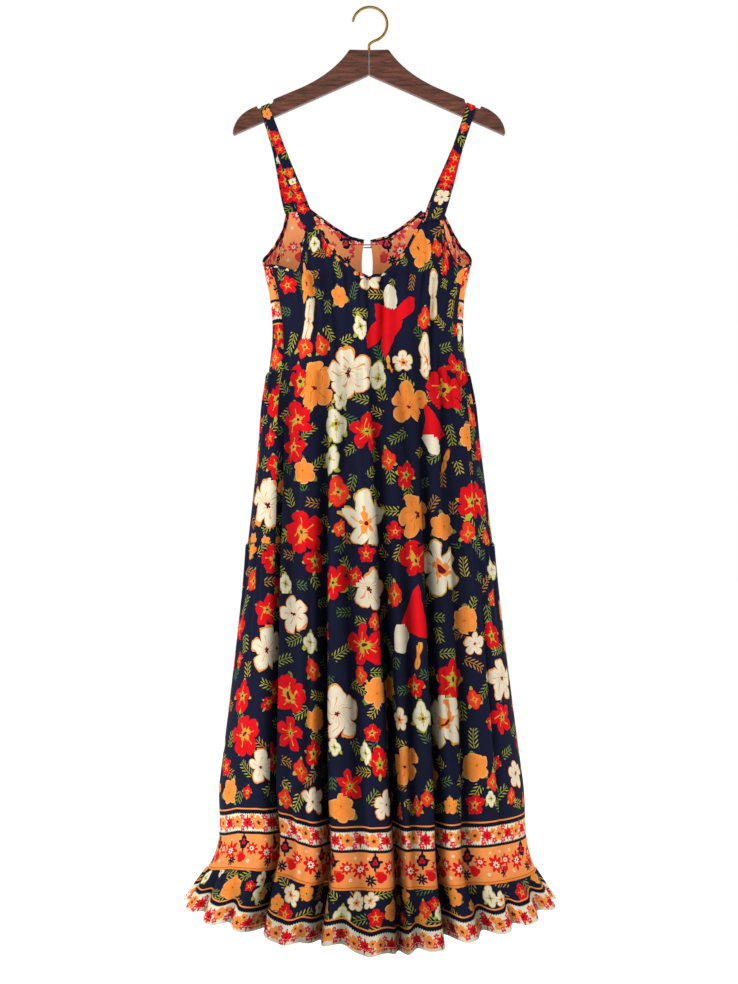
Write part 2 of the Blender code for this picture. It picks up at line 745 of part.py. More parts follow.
def bindings(finish):
    """The bound edges of the neck and the armholes."""
    front = front_rim()
    left_corners = corner_columns("front", FRONT_STRAP_LEFT)
    right_corners = corner_columns("front", FRONT_STRAP_RIGHT)
    edge_binding("neck_binding_front", run_of(front, left_corners[1], right_corners[0], NECK_INSET), finish)
    for hand in (-1, 1):
        side = "left" if hand < 0 else "right"
        back = back_rim(hand)
        places = BACK_STRAP_LEFT if hand < 0 else BACK_STRAP_RIGHT
        corners = corner_columns("back", places)
        end = back_edge_turn(np.array(KEYHOLE_TOP), hand) - (1 if hand < 0 else 0)
        if hand < 0:
            neck = run_of(back, end, corners[1] - 1, NECK_INSET)
            armhole = run_of([*back, *front], corners[0] - 1, left_corners[0], ARMHOLE_INSET)
        else:
            neck = run_of(back, corners[0], end, NECK_INSET)
            armhole = run_of([*front, *back], right_corners[1], corners[1], ARMHOLE_INSET)
        edge_binding("neck_binding_back_" + side, neck, finish)
        edge_binding("armhole_binding_" + side, armhole, finish)


def arm_height(x):
    """The top of the hanger's straight arm at x from its middle."""
    start, height = HANGER_ARM_START
    return height - HANGER_ARM_SLOPE * (abs(x) - start)


def curve_points(start, bend, end, count):
    """Points of the curve that leaves start and reaches end by way of bend."""
    shares = [i / count for i in range(count + 1)]
    return [
        tuple(
            (1 - s) ** 2 * a + 2 * s * (1 - s) * b + s * s * c
            for a, b, c in zip(start, bend, end)
        )
        for s in shares
    ]


def hanger_outline():
    """The outline of the right arm of the hanger, from the mitre out along the top and back underneath."""
    inner = MITRE_GAP / 2
    top = [(inner, HANGER_TOP), (HANGER_CREST - 0.002, HANGER_TOP)]
    top += curve_points((HANGER_CREST, HANGER_TOP - 0.002), HANGER_CREST_BEND, HANGER_ARM_START, 9)
    near, far = NOTCH_MIDDLE - NOTCH_LENGTH / 2, NOTCH_MIDDLE + NOTCH_LENGTH / 2
    notch = [
        (near, arm_height(near)),
        (near + NOTCH_SLANT, arm_height(near + NOTCH_SLANT) - NOTCH_DEPTH),
        (far - NOTCH_SLANT, arm_height(far - NOTCH_SLANT) - NOTCH_DEPTH),
        (far, arm_height(far)),
    ]
    shoulder = (HANGER_SHOULDER, arm_height(HANGER_SHOULDER))
    tip = curve_points(shoulder, HANGER_TIP_BEND, (HANGER_HALF, HANGER_TIP_HEIGHT), 7)
    toe = [(HANGER_HALF, HANGER_TOE_HEIGHT + 0.0024), (HANGER_HALF - 0.0015, HANGER_TOE_HEIGHT)]
    under = [(x, HANGER_UNDER - HANGER_UNDER_SLOPE * x) for x in (HANGER_HALF - 0.0045, inner)]
    return top + notch + tip + toe + under


def hanger_arm(name, hand, finish):
    """One arm of the hanger, cut from a board, its edges rounded, and swept a little forward."""
    outline = hanger_outline()
    bm = bmesh.new()
    front = [bm.verts.new((hand * x, -HANGER_THICK / 2, z)) for x, z in outline]
    back = [bm.verts.new((hand * x, HANGER_THICK / 2, z)) for x, z in outline]
    bm.faces.new(front)
    bm.faces.new(back[::-1])
    for i, j in zip(range(len(outline)), [*range(1, len(outline)), 0]):
        bm.faces.new((front[i], back[i], back[j], front[j]))
    bmesh.ops.recalc_face_normals(bm, faces=bm.faces)
    for vert in bm.verts:
        x, y, z = vert.co
        vert.co = (x, y - abs(x) * math.tan(HANGER_SWEEP), z)
    mesh = bpy.data.meshes.new(name)
    bm.to_mesh(mesh)
    bm.free()
    made = add_object(name, mesh, finish)
    bevel = made.modifiers.new("rounded_edges", "BEVEL")
    bevel.width = HANGER_EDGE_ROUND
    bevel.segments = 1
    bevel.limit_method = "ANGLE"
    bevel.angle_limit = math.radians(60)
    return made


def hook_path():
    """The line of the hook's wire: the tip, over the crown, in to the middle and down the shank."""
    centre = WIRE / 2 - HOOK_RADIUS
    points = []
    for i in range(HOOK_STEPS + 1):
        angle = HOOK_TIP - HOOK_TURN * i / HOOK_STEPS
        points.append((HOOK_OFFSET + HOOK_RADIUS * math.cos(angle), centre + HOOK_RADIUS * math.sin(angle)))
    neck = curve_points(points[-1], HOOK_NECK_BEND, HOOK_NECK_FOOT, 5)[1:]
    return points + neck + [(0.0, HANGER_TOP + HOOK_SHANK_GAP)]


def hook(finish):
    """The wire hook, with a rounded tip."""
    curve = bpy.data.curves.new("hook", "CURVE")
    curve.dimensions = "3D"
    line = curve.splines.new("POLY")
    points = hook_path()
    line.points.add(len(points) - 1)
    for target, (x, z) in zip(line.points, points):
        target.co = (x, 0, z, 1)
    line.points[0].radius = HOOK_TIP_TAPER
    curve.bevel_depth = WIRE / 2
    curve.bevel_resolution = 3
    curve.use_fill_caps = True
    made = bpy.data.objects.new("hook", curve)
    curve.materials.append(finish)
    bpy.context.scene.collection.objects.link(made)
    return made


def turned(name, profile, centre, sides, finish):
    """A round piece turned from a profile of radius and height, standing out backwards from its centre."""
    bm = bmesh.new()
    rings = []
    for radius, height in profile:
        ring = []
        for i in range(sides):
            a = 2 * math.pi * i / sides
            offset = Vector((radius * math.cos(a), height, radius * math.sin(a)))
            ring.append(bm.verts.new(Vector(centre) + offset))
        rings.append(ring)
    for low, high in zip(rings, rings[1:]):
        for i in range(sides):
            j = (i + 1) % sides
            bm.faces.new((low[i], low[j], high[j], high[i]))
    bm.faces.new(rings[0][::-1])
    bm.faces.new(rings[-1])
    bmesh.ops.recalc_face_normals(bm, faces=bm.faces)
    mesh = bpy.data.meshes.new(name)
    bm.to_mesh(mesh)
    bm.free()
    mesh.shade_smooth()
    mesh.set_sharp_from_angle(angle=math.radians(45))
    return add_object(name, mesh, finish)


def strap_end(side, hand, corners):
    """A strap's end on the bodice: its middle, the way across it, the way out of the cloth, and its width."""
    ends = corner_columns(side, corners)
    turns = np.array([ends[0], (ends[0] + ends[1]) / 2, ends[1]])
    tops = rim_height(turns)
    edge, out = cloth_point(turns, tops), cloth_normal(turns, tops)
    across = unit(edge[2] - edge[0])
    wide = np.linalg.norm(edge[2] - edge[0]) + STRAP_OVER_ARMHOLE
    return edge[1] + across * (hand * STRAP_OVER_ARMHOLE / 2), across, out[1], wide


def strap_run(end, top, arm, shares):
    """A straight run of strap, from its end on the bodice to where it bends over the hanger."""
    foot, foot_across, foot_out, wide = end
    start = foot + np.array([0, 0, STRAP_GAP])
    rows = []
    for s in shares:
        across = foot_across + (arm - foot_across) * eased(s * 1.6)
        out = foot_out + (top[1] - foot_out) * eased(s * 1.3)
        width = wide + (STRAP_WIDTH - wide) * eased(s * 1.4)
        rows.append((start + (top[0] - start) * s, across, out, width))
    return rows


def strap(name, hand, front_corners, back_corners, finish):
    """A flat strap from the front of the bodice, over the hanger in its notch, down to the back."""
    x = STRAP_PLACES[0] if hand < 0 else STRAP_PLACES[1]
    rest = arm_height(x) - NOTCH_DEPTH + SEAM_GAP + STRAP_THICK / 2
    over = np.array([x, -abs(x) * math.tan(HANGER_SWEEP), rest])
    reach = HANGER_THICK / 2 + STRAP_GAP + STRAP_THICK / 2
    arm = unit(np.array([1.0, -hand * math.tan(HANGER_SWEEP), -hand * HANGER_ARM_SLOPE]))
    bend = []
    for side in (-1, 1):
        for beyond, drop, flat, up in (
            (reach, STRAP_BEND_DROP, 1.0, 0.0),
            (reach - STRAP_GAP, STRAP_BEND_CORNER, 0.92, 0.38),
            (reach - STRAP_BEND_TOP, 0.0, 0.38, 0.92),
        ):
            point = over + np.array([0.0, side * beyond, -drop])
            bend.append((point, arm, np.array([0.0, side * flat, up]), STRAP_WIDTH))
    bend[3:] = bend[:2:-1]
    shares = [i / STRAP_STEPS for i in range(STRAP_STEPS)]
    front = strap_run(strap_end("front", hand, front_corners), (bend[0][0], bend[0][2]), arm, shares)
    back = strap_run(strap_end("back", hand, back_corners), (bend[-1][0], bend[-1][2]), arm, shares[::-1])
    points, across, out, widths = (np.array(values) for values in zip(*front, *bend, *back))
    across, out = unit(across), unit(out)
    out = unit(out - across * (out * across).sum(axis=1, keepdims=True))
    return swept(name, (points, across, out), widths, STRAP_THICK, finish)


def button_place():
    """The foot of the button's shank, a little right of the keyhole on the outside of the back."""
    z = KEYHOLE_TOP - BUTTON_DROP
    turn = back_edge_turn(z, 1, 0.0030)
    return cloth_point(turn, z) + cloth_normal(turn, z) * (CLOTH / 2 + 0.0004)


def button(finish):
    """The small domed button, on a shank."""
    return turned("neck_button", BUTTON_PROFILE, button_place(), 12, finish)


def button_loop(finish):
    """The cord loop from the left edge of the keyhole round the button's shank."""
    z = KEYHOLE_TOP - BUTTON_DROP
    edge = cloth_point(back_edge_turn(z, -1), z)
    shank = button_place() + np.array([0, 0.0011, 0])
    reach = BUTTON_PROFILE[0][0] + LOOP_CORD / 2 + 0.0003
    root = np.array([edge[0] + LOOP_CORD / 2 + 0.0003, shank[1], edge[2]])
    route = [root + np.array([0, 0, reach])]
    for i in range(9):
        angle = math.radians(90 - i * 180 / 8)
        route.append(shank + reach * np.array([math.cos(angle), 0, math.sin(angle)]))
    route.append(root - np.array([0, 0, reach]))
    curve = bpy.data.curves.new("neck_loop", "CURVE")
    curve.dimensions = "3D"
    line = curve.splines.new("POLY")
    line.points.add(len(route) - 1)
    for target, point in zip(line.points, route):
        target.co = (*point, 1)
    curve.bevel_depth = LOOP_CORD / 2
    curve.bevel_resolution = 1
    curve.use_fill_caps = True
    curve.materials.append(finish)
    made = bpy.data.objects.new("neck_loop", curve)
    bpy.context.scene.collection.objects.link(made)
    return made


def main():
    for old in list(bpy.data.objects):
        bpy.data.objects.remove(old)
    print_cloth = material("printed_viscose", NAVY, 0.75)
    border_cloth = material("border_print_viscose", ORANGE, 0.75)
    walnut = material("stained_beech", WALNUT, 0.45)
    brass = material("brushed_brass", BRASS, 0.35, 1.0)
    ink = material("dark_cord_and_button", INK, 0.5)

    hanger_arm("hanger_arm_left", -1, walnut)
    hanger_arm("hanger_arm_right", 1, walnut)
    hook(brass)

    bodice_front(print_cloth)
    bodice_back("bodice_back_left", -1, border_cloth)
    bodice_back("bodice_back_right", 1, border_cloth)
    keyhole_facing("keyhole_facing_left", -1, print_cloth)
    keyhole_facing("keyhole_facing_right", 1, print_cloth)
    bindings(print_cloth)
    strap("strap_left", -1, FRONT_STRAP_LEFT, BACK_STRAP_LEFT, print_cloth)
    strap("strap_right", 1, FRONT_STRAP_RIGHT, BACK_STRAP_RIGHT, print_cloth)
    button(ink)
    button_loop(ink)

    left, right = LEFT_SEAM_TURN, RIGHT_SEAM_TURN
    middle = (BODICE_SEAM, TIER_SEAM, MIDDLE_TIER_COUNT, MIDDLE_TIER_LEVELS)
    tier("middle_tier_front", left, right, *middle, print_cloth)
    tier("middle_tier_back", right, left + 1, *middle, print_cloth)
    lower = (TIER_SEAM, RUFFLE_SEAM, LOWER_TIER_COUNT, LOWER_TIER_LEVELS)
    tier("lower_tier_front", left, right, *lower, print_cloth)
    tier("lower_tier_back", right, left + 1, *lower, print_cloth)
    ruffle("ruffle_front", left, right, RUFFLE_FRONT_COUNT, print_cloth)
    ruffle("ruffle_back", right, left + 1, RUFFLE_BACK_COUNT, print_cloth)


main()
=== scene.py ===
"""The looks of a sleeveless maxi dress of printed viscose on a wooden hanger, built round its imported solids.

Metres, +Z up, the front towards -Y, the origin inside the crown of the hook. The cloth is made again as thin
walls on the solids' own form, with finer gathers and creases, and a flowered print that follows the cloth.
"""

import math
from collections import namedtuple

import bmesh
import bpy
import mathutils
import numpy as np
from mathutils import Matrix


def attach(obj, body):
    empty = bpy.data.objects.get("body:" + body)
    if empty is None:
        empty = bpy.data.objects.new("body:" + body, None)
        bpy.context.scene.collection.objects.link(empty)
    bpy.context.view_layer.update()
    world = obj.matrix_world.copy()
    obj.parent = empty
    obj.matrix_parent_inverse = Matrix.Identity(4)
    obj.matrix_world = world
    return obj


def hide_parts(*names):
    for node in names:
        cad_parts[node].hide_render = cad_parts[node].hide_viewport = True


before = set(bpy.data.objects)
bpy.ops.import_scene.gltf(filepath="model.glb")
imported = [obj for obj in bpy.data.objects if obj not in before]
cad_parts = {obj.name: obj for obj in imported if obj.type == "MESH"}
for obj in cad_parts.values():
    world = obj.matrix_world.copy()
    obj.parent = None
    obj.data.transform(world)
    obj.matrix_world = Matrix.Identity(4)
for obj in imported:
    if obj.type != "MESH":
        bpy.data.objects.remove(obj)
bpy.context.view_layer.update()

bl_info = {
    "name": "Printed Maxi Dress",
    "version": (1, 0, 0),
    "blender": (4, 5, 0),
    "location": "3D Viewport > Sidebar > Dress",
    "description": "Makes the cloth, print, sewing, hanger and studio of a tiered maxi dress",
    "category": "Add Mesh",
}

# Sizes of the cloth that the solids share, in metres.
BODICE_SEAM = -0.597
TIER_SEAM = -0.875
RUFFLE_SEAM = -1.410
HEM = -1.458
RUFFLE_WAVES = 25
RUFFLE_WAVE_DEPTH = 0.0085
RUFFLE_WAVE_DIP = 0.0055
RUFFLE_WAVE_AT_SEAM = 0.16
NECK_GATHER_MIDDLE = 0.258
NECK_GATHER_REACH = 0.115
NECK_LOWEST = -0.440

# The level sections of the dress: half its width, its depth in front of and behind the middle, and the
# sideways place of its middle.
SECTION_COLUMNS = ("height", "half_width", "front", "back", "middle")
SECTIONS = (
    (-0.300, 0.166, 0.030, 0.028, -0.003),
    (-0.360, 0.168, 0.046, 0.038, -0.003),
    (-0.418, 0.170, 0.062, 0.047, -0.003),
    (-0.470, 0.160, 0.071, 0.053, -0.003),
    (-0.520, 0.156, 0.075, 0.057, -0.002),
    (-0.597, 0.163, 0.079, 0.062, -0.001),
    (-0.645, 0.173, 0.086, 0.068, 0.000),
    (-0.725, 0.182, 0.094, 0.075, 0.001),
    (-0.875, 0.200, 0.108, 0.086, 0.002),
    (-1.070, 0.223, 0.124, 0.098, 0.003),
    (-1.265, 0.248, 0.137, 0.109, 0.004),
    (-1.410, 0.268, 0.146, 0.117, 0.005),
    (-1.435, 0.284, 0.160, 0.131, 0.003),
    (-1.458, 0.298, 0.174, 0.146, 0.002),
)

# How far the hem hangs below its height at the left side, across the dress at the front and the back.
HEM_COLUMNS = ("place", "front", "back")
HEM_DROPS = (
    (-1.00, 0.003, 0.003), (-0.85, 0.015, 0.010), (-0.70, 0.017, 0.015), (-0.55, 0.025, 0.021),
    (-0.40, 0.034, 0.026), (-0.25, 0.031, 0.029), (-0.12, 0.036, 0.031), (0.05, 0.048, 0.032),
    (0.20, 0.046, 0.030), (0.33, 0.038, 0.027), (0.45, 0.031, 0.023), (0.60, 0.025, 0.018),
    (0.75, 0.019, 0.012), (0.88, 0.012, 0.007), (1.00, 0.003, 0.003),
)

# How far the front of the foot of the lower tier is drawn up: place across the dress and lift.
FOOT_LIFTS = (
    (-1.0, 0.004), (-0.85, 0.018), (-0.7, 0.022), (-0.55, 0.018), (-0.4, 0.008), (-0.2, 0.0), (1.0, 0.0),
)
FOOT_LIFT_TOP = -0.95

# The deep folds: their place across the front or back as a share of the half width, at the bodice seam and
# at the ruffle, how deep and wide they are at the ruffle, how far one edge leans over, and where they begin.
Fold = namedtuple("Fold", ("side", "place_top", "place_low", "depth", "width", "lean", "begins"))
FOLDS = (
    Fold("front", -0.84, -0.60, 0.040, 0.0088, 0.007, -0.430),
    Fold("front", -0.42, -0.28, 0.046, 0.0092, 0.009, -0.440),
    Fold("front", 0.05, 0.155, 0.048, 0.0090, -0.008, -0.470),
    Fold("front", 0.49, 0.405, 0.044, 0.0088, -0.008, -0.440),
    Fold("back", 0.66, 0.62, 0.036, 0.0092, 0.007, -0.560),
    Fold("back", 0.25, 0.22, 0.040, 0.0095, -0.007, -0.540),
    Fold("back", -0.18, -0.15, 0.036, 0.0090, 0.006, -0.600),
    Fold("back", -0.60, -0.56, 0.038, 0.0092, -0.007, -0.520),
)
FOLD_GROWTH = 1.15
FOLD_GROWTH_POWER = 0.8
FOLD_LEAN_PLACE = 1.25
FOLD_LEAN_SPREAD = 0.8

# The soft undulations between the deep folds.
Swell = namedtuple("Swell", ("side", "place", "depth", "width", "begins"))
SWELLS = (
    Swell("front", -0.60, 0.008, 0.014, -0.420),
    Swell("front", -0.13, 0.010, 0.013, -0.440),
    Swell("front", 0.27, 0.009, 0.012, -0.420),
    Swell("front", 0.66, 0.012, 0.014, -0.430),
    Swell("back", 0.86, 0.010, 0.015, -0.450),
    Swell("back", 0.45, 0.009, 0.014, -0.450),
    Swell("back", 0.03, 0.010, 0.014, -0.450),
    Swell("back", -0.38, 0.009, 0.014, -0.450),
    Swell("back", -0.84, 0.010, 0.016, -0.450),
)
SWELL_REACH = 0.55

# The side seams, as a share of the half width, at the bodice seam and at the ruffle.
LEFT_SEAM = (-0.87, -0.64)
RIGHT_SEAM = (0.92, 0.80)
BACK_MIDDLE_TURN = 0.75

# The top edges of the bodice, left to right: place across and height.
FRONT_EDGE = (
    (-0.173, -0.420), (-0.150, -0.429), (-0.134, -0.435), (-0.120, -0.441), (-0.111, -0.437),
    (-0.106, -0.424), (-0.102, -0.392), (-0.099, -0.371), (-0.080, -0.369), (-0.064, -0.399),
    (-0.044, -0.423), (-0.022, -0.444), (0.000, -0.452), (0.024, -0.447), (0.045, -0.429),
    (0.063, -0.402), (0.077, -0.374), (0.0885, -0.355), (0.115, -0.351), (0.119, -0.374),
    (0.127, -0.404), (0.136, -0.422), (0.146, -0.431), (0.156, -0.428), (0.167, -0.421),
)
BACK_EDGE = (
    (-0.173, -0.420), (-0.165, -0.404), (-0.154, -0.3895), (-0.139, -0.3600), (-0.1325, -0.331),
    (-0.100, -0.327), (-0.086, -0.337), (-0.060, -0.355), (-0.030, -0.372), (0.000, -0.378),
    (0.030, -0.371), (0.056, -0.355), (0.078, -0.339), (0.090, -0.329), (0.118, -0.329),
    (0.137, -0.367), (0.150, -0.391), (0.167, -0.421),
)
FRONT_STRAP_LEFT = (-0.099, -0.080)
FRONT_STRAP_RIGHT = (0.0885, 0.115)
BACK_STRAP_LEFT = (-0.1325, -0.100)
BACK_STRAP_RIGHT = (0.090, 0.118)

# The keyhole at the back neck, its facing, button and loop.
KEYHOLE_TOP = -0.378
KEYHOLE_LENGTH = 0.079
KEYHOLE_HALF_WIDTH = 0.009
KEYHOLE_WIDEST = 0.45
FACING_WIDTH = 0.013
BUTTON_DROP = 0.005
LOOP_CORD = 0.0012
BUTTON_PROFILE = (
    (0.0014, 0.0000), (0.0014, 0.0020), (0.0036, 0.0023), (0.0040, 0.0033), (0.0030, 0.0046),
    (0.0010, 0.0052),
)

# Bindings and straps.
BINDING_WIDTH = 0.0055
BINDING_THICK = 0.0026
BINDING_LAP = 0.0010
BINDING_INSET = 0.0006
STRAP_THICK = 0.0022
STRAP_WIDTH = 0.0165
STRAP_PLACES = (-0.1690, 0.1662)
STRAP_OVER_ARMHOLE = 0.0050
STRAP_GAP = 0.0004
STRAP_LAP = 0.0022
STRAP_BEND_DROP = 0.0065

# The hanger and its hook.
HANGER_HALF = 0.2215
HANGER_THICK = 0.013
HANGER_TOP = -0.0695
HANGER_CREST = 0.0335
HANGER_CREST_BEND = (0.060, -0.110)
HANGER_ARM_START = (0.113, -0.1342)
HANGER_ARM_SLOPE = 0.4335
HANGER_SHOULDER = 0.184
HANGER_TIP_BEND = (0.2165, -0.178)
HANGER_TIP_HEIGHT = -0.206
HANGER_TOE_HEIGHT = -0.2122
HANGER_EDGE_ROUND = 0.0016
HANGER_UNDER = -0.1098
HANGER_UNDER_SLOPE = 0.463
HANGER_SWEEP = math.radians(4)
NOTCH_MIDDLE = 0.1690
NOTCH_LENGTH = 0.027
NOTCH_DEPTH = 0.0058
NOTCH_SLANT = 0.0018
MITRE_GAP = 0.0003
WIRE = 0.0046
HOOK_RADIUS = 0.0282
HOOK_OFFSET = 0.0015
HOOK_TIP = math.radians(172)
HOOK_TURN = math.radians(238)
HOOK_TIP_TAPER = (0.72, 0.93)

# Colours as they read in daylight.
NAVY = "171931"
DEEP_NAVY = "101226"
RED = "E60F1C"
SCARLET = "F03A22"
CRIMSON = "A80F1C"
TANGERINE = "FF9640"
PEACH = "FF9C54"
CREAM = "F3E8CB"
LEAF = "B9B43A"
MOSS = "7C8A3A"
GOLD = "DFA63C"
WINE = "6E1220"


def column(table, columns, name):
    """One named column of a table as an array."""
    return np.array([row[columns.index(name)] for row in table])


def smooth_table(xs, ys, x):
    """A cubic curve through the rows of a table, with xs in either order."""
    order = np.argsort(xs)
    xs, ys = xs[order], ys[order]
    slopes = np.gradient(ys, xs)
    x = np.clip(x, xs[0], xs[-1])
    low = np.clip(np.searchsorted(xs, x, side="right") - 1, 0, len(xs) - 2)
    span = xs[low + 1] - xs[low]
    s = (x - xs[low]) / span
    start = (1 + 2 * s) * (1 - s) ** 2 * ys[low] + s * (1 - s) ** 2 * span * slopes[low]
    end = s * s * (3 - 2 * s) * ys[low + 1] + s * s * (s - 1) * span * slopes[low + 1]
    return start + end


def unit(vectors):
    """Vectors made one long."""
    return vectors / np.maximum(np.linalg.norm(vectors, axis=-1, keepdims=True), 1e-12)


def eased(x):
    """0 before 0, 1 after 1, and smooth between."""
    x = np.clip(x, 0, 1)
    return x * x * (3 - 2 * x)


def section(name, z):
    """A size of the level section at height z."""
    heights = column(SECTIONS, SECTION_COLUMNS, "height")
    return smooth_table(heights, column(SECTIONS, SECTION_COLUMNS, name), z)


def way_down(z):
    """0 at the bodice seam and 1 at the ruffle."""
    return np.clip((BODICE_SEAM - z) / (BODICE_SEAM - RUFFLE_SEAM), -0.35, 1.0)


def angle_of(side, place):
    """The angle round the ring, from 0 at the left through the front, of a place across it."""
    turn = np.arccos(np.clip(-np.asarray(place, float), -1, 1))
    return turn if side == "front" else 2 * math.pi - turn


def knots():
    """What the cloth's columns follow down the dress: side, place at the bodice seam, place at the ruffle."""
    found = [("front", *LEFT_SEAM), ("front", *RIGHT_SEAM)]
    found += [(fold.side, fold.place_top, fold.place_low) for fold in FOLDS]
    return sorted(found, key=lambda k: angle_of(k[0], (k[1] + k[2]) / 2))


KNOTS = knots()
KNOT_TURNS = np.array([angle_of(k[0], (k[1] + k[2]) / 2) for k in KNOTS]) / (2 * math.pi)


def turn_of(side, place):
    """The column that lies at this place, midway down the skirt."""
    return float(angle_of(side, place)) / (2 * math.pi)


LEFT_SEAM_TURN = turn_of("front", sum(LEFT_SEAM) / 2)
RIGHT_SEAM_TURN = turn_of("front", sum(RIGHT_SEAM) / 2)


def ring_angle(turn, z):
    """The angle round the ring of a column of the cloth at height z."""
    turn, z = np.broadcast_arrays(np.asarray(turn, float), np.asarray(z, float))
    down = way_down(z)
    angles = []
    for side, top, low in KNOTS:
        angles.append(angle_of(side, top + (low - top) * down))
    angles = [angles[-1] - 2 * math.pi, *angles, angles[0] + 2 * math.pi]
    turns = [KNOT_TURNS[-1] - 1, *KNOT_TURNS, KNOT_TURNS[0] + 1]
    wrapped = (turn - turns[1]) % 1.0 + turns[1]
    result = np.zeros_like(wrapped)
    for i in range(len(turns) - 1):
        share = (wrapped - turns[i]) / (turns[i + 1] - turns[i])
        inside = (share >= 0) & (share <= 1)
        result = np.where(inside, angles[i] + share * (angles[i + 1] - angles[i]), result)
    return result


def apart(turn, centre):
    """How far a column is from another the short way round."""
    return (turn - centre + 0.5) % 1.0 - 0.5


def fold_turn(fold):
    """The column of a fold's deepest line."""
    return turn_of(fold.side, (fold.place_top + fold.place_low) / 2)


def fold_pull(turn, z):
    """How far the deep folds and swells pull the cloth in, and how far they push it sideways."""
    inward = np.zeros(np.broadcast(turn, z).shape)
    sideways = np.zeros_like(inward)
    for fold in FOLDS:
        down = (fold.begins - z) / (fold.begins - RUFFLE_SEAM)
        grown = eased(down * FOLD_GROWTH) ** FOLD_GROWTH_POWER
        off = apart(turn, fold_turn(fold)) / fold.width
        inward = inward + fold.depth * grown * np.exp(-off * off)
        edge = off - FOLD_LEAN_PLACE * np.sign(fold.lean)
        sideways = sideways - fold.lean * grown * np.exp(-edge * edge / FOLD_LEAN_SPREAD)
    for swell in SWELLS:
        grown = eased((swell.begins - z) / SWELL_REACH)
        off = apart(turn, turn_of(swell.side, swell.place)) / swell.width
        inward = inward + swell.depth * grown * np.exp(-off * off)
    return inward, sideways


def wandering(turn, count, drift):
    """The phase of a row of waves whose widths differ."""
    full = 2 * math.pi
    return full * count * turn + drift * (np.sin(full * 3 * turn + 1) + 0.7 * np.sin(full * 7 * turn + 2))


def ring_base(angle, z):
    """The plain oval of the section at height z."""
    cosine, sine = np.cos(angle), np.sin(angle)
    x = section("middle", z) - section("half_width", z) * cosine
    y = -np.where(sine > 0, section("front", z), section("back", z)) * sine
    return x, y


def hem_drop(angle):
    """How far the hem hangs below its height at the left side."""
    place = -np.cos(angle)
    places = column(HEM_DROPS, HEM_COLUMNS, "place")
    front = smooth_table(places, column(HEM_DROPS, HEM_COLUMNS, "front"), place)
    back = smooth_table(places, column(HEM_DROPS, HEM_COLUMNS, "back"), place)
    return np.where(np.sin(angle) > 0, front, back)


# Half the groove between two sewn pieces, in metres and in columns.
SEAM_HALF = 0.00004
SEAM_TURN = 0.00004

# The fine gathers: their number round the ring, depth at the seam and the length over which they fade.
Gather = namedtuple("Gather", ("count", "drift", "depth", "fade"))
NECK_ROWS = (Gather(58, 0.8, 0.0044, 0.120), Gather(97, 1.4, 0.0020, 0.050))
TIER_ROWS = (Gather(30, 0.6, 0.0034, 0.080), Gather(58, 1.7, 0.0030, 0.110), Gather(97, 2.3, 0.0014, 0.035))
RUFFLE_ROWS = (Gather(64, 1.9, 0.0030, 0.026),)

# The main creases of the front and back: place across, height of the middle, half the length, how far the
# cloth stands in (or out, below 0), half the width in columns, and how far the foot drifts, in thousandths.
CREASES = {
    "front": (
        (-790, -500, 95, 4.2, 5, 6), (-520, -545, 70, -2.6, 5.2, -5), (-260, -520, 80, 3.4, 4.4, 5),
        (-20, -505, 60, -2.4, 4, 3), (170, -540, 80, 3.2, 4.6, -6), (370, -500, 70, -2.6, 4.6, 4),
        (600, -520, 90, 3.6, 5.2, -6), (780, -490, 60, -2.6, 4.8, -4), (-660, -700, 110, 4.6, 5.2, 5),
        (-500, -760, 90, -3.4, 4.8, -4), (-180, -690, 100, 4.4, 4.6, -5), (-40, -790, 80, -3.2, 4.2, 4),
        (320, -710, 110, 4.2, 4.8, 6), (240, -810, 60, -2.6, 4.2, 0), (620, -700, 120, 5, 5.2, -5),
        (800, -760, 90, -3.4, 5, 3), (-720, -1020, 160, 4.8, 5.4, 3), (-470, -1110, 230, 5.8, 5, -4),
        (-560, -1290, 110, -3.6, 4.6, 4), (-150, -1050, 190, 5.6, 4.8, 5),
        (-50, -1240, 150, -4.2, 4.4, -4), (50, -990, 110, 4.4, 4.2, 4), (270, -1160, 220, 6, 4.6, -5),
        (340, -960, 90, -3.2, 4.2, 3), (540, -1060, 170, 4.8, 4.6, 5), (650, -1230, 170, 6, 5.2, -4),
        (860, -1130, 190, 4.6, 5.2, 0),
    ),
    "back": (
        (880, -1040, 200, 4.6, 5.2, 4), (530, -690, 110, 4.6, 5, -5), (400, -1150, 230, 5.6, 5, 5),
        (140, -750, 100, 4, 4.6, 4), (100, -1060, 180, 5.4, 5, -5), (-20, -1260, 130, -4, 4.6, 3),
        (-300, -700, 110, 4.6, 4.8, 4), (-350, -1120, 230, 5.8, 4.8, -5), (-480, -980, 90, -3.6, 4.4, 3),
        (-740, -740, 110, 4.6, 5.2, 4), (-780, -1190, 210, 5.6, 5.4, -4), (600, -520, 70, 3, 5, 4),
        (300, -540, 60, -2.4, 5, -3), (-320, -530, 70, 3, 5, -4), (-620, -520, 70, -2.6, 5, 3),
    ),
}
CREASE_STRENGTH = 1.6


def crease_pull(turn, z):
    """How far the creases pull the cloth in."""
    inward = np.zeros(np.broadcast(turn, z).shape)
    listed = [(side, *np.multiply(crease, 1e-3)) for side, creases in CREASES.items() for crease in creases]
    for side, place, height, reach, depth, width, drift in listed:
        down = (height - z) / reach
        across = apart(turn, turn_of(side, place) + drift * down) / width
        inward = inward + CREASE_STRENGTH * depth * np.exp(-across * across - (down * down) ** 1.5)
    return inward


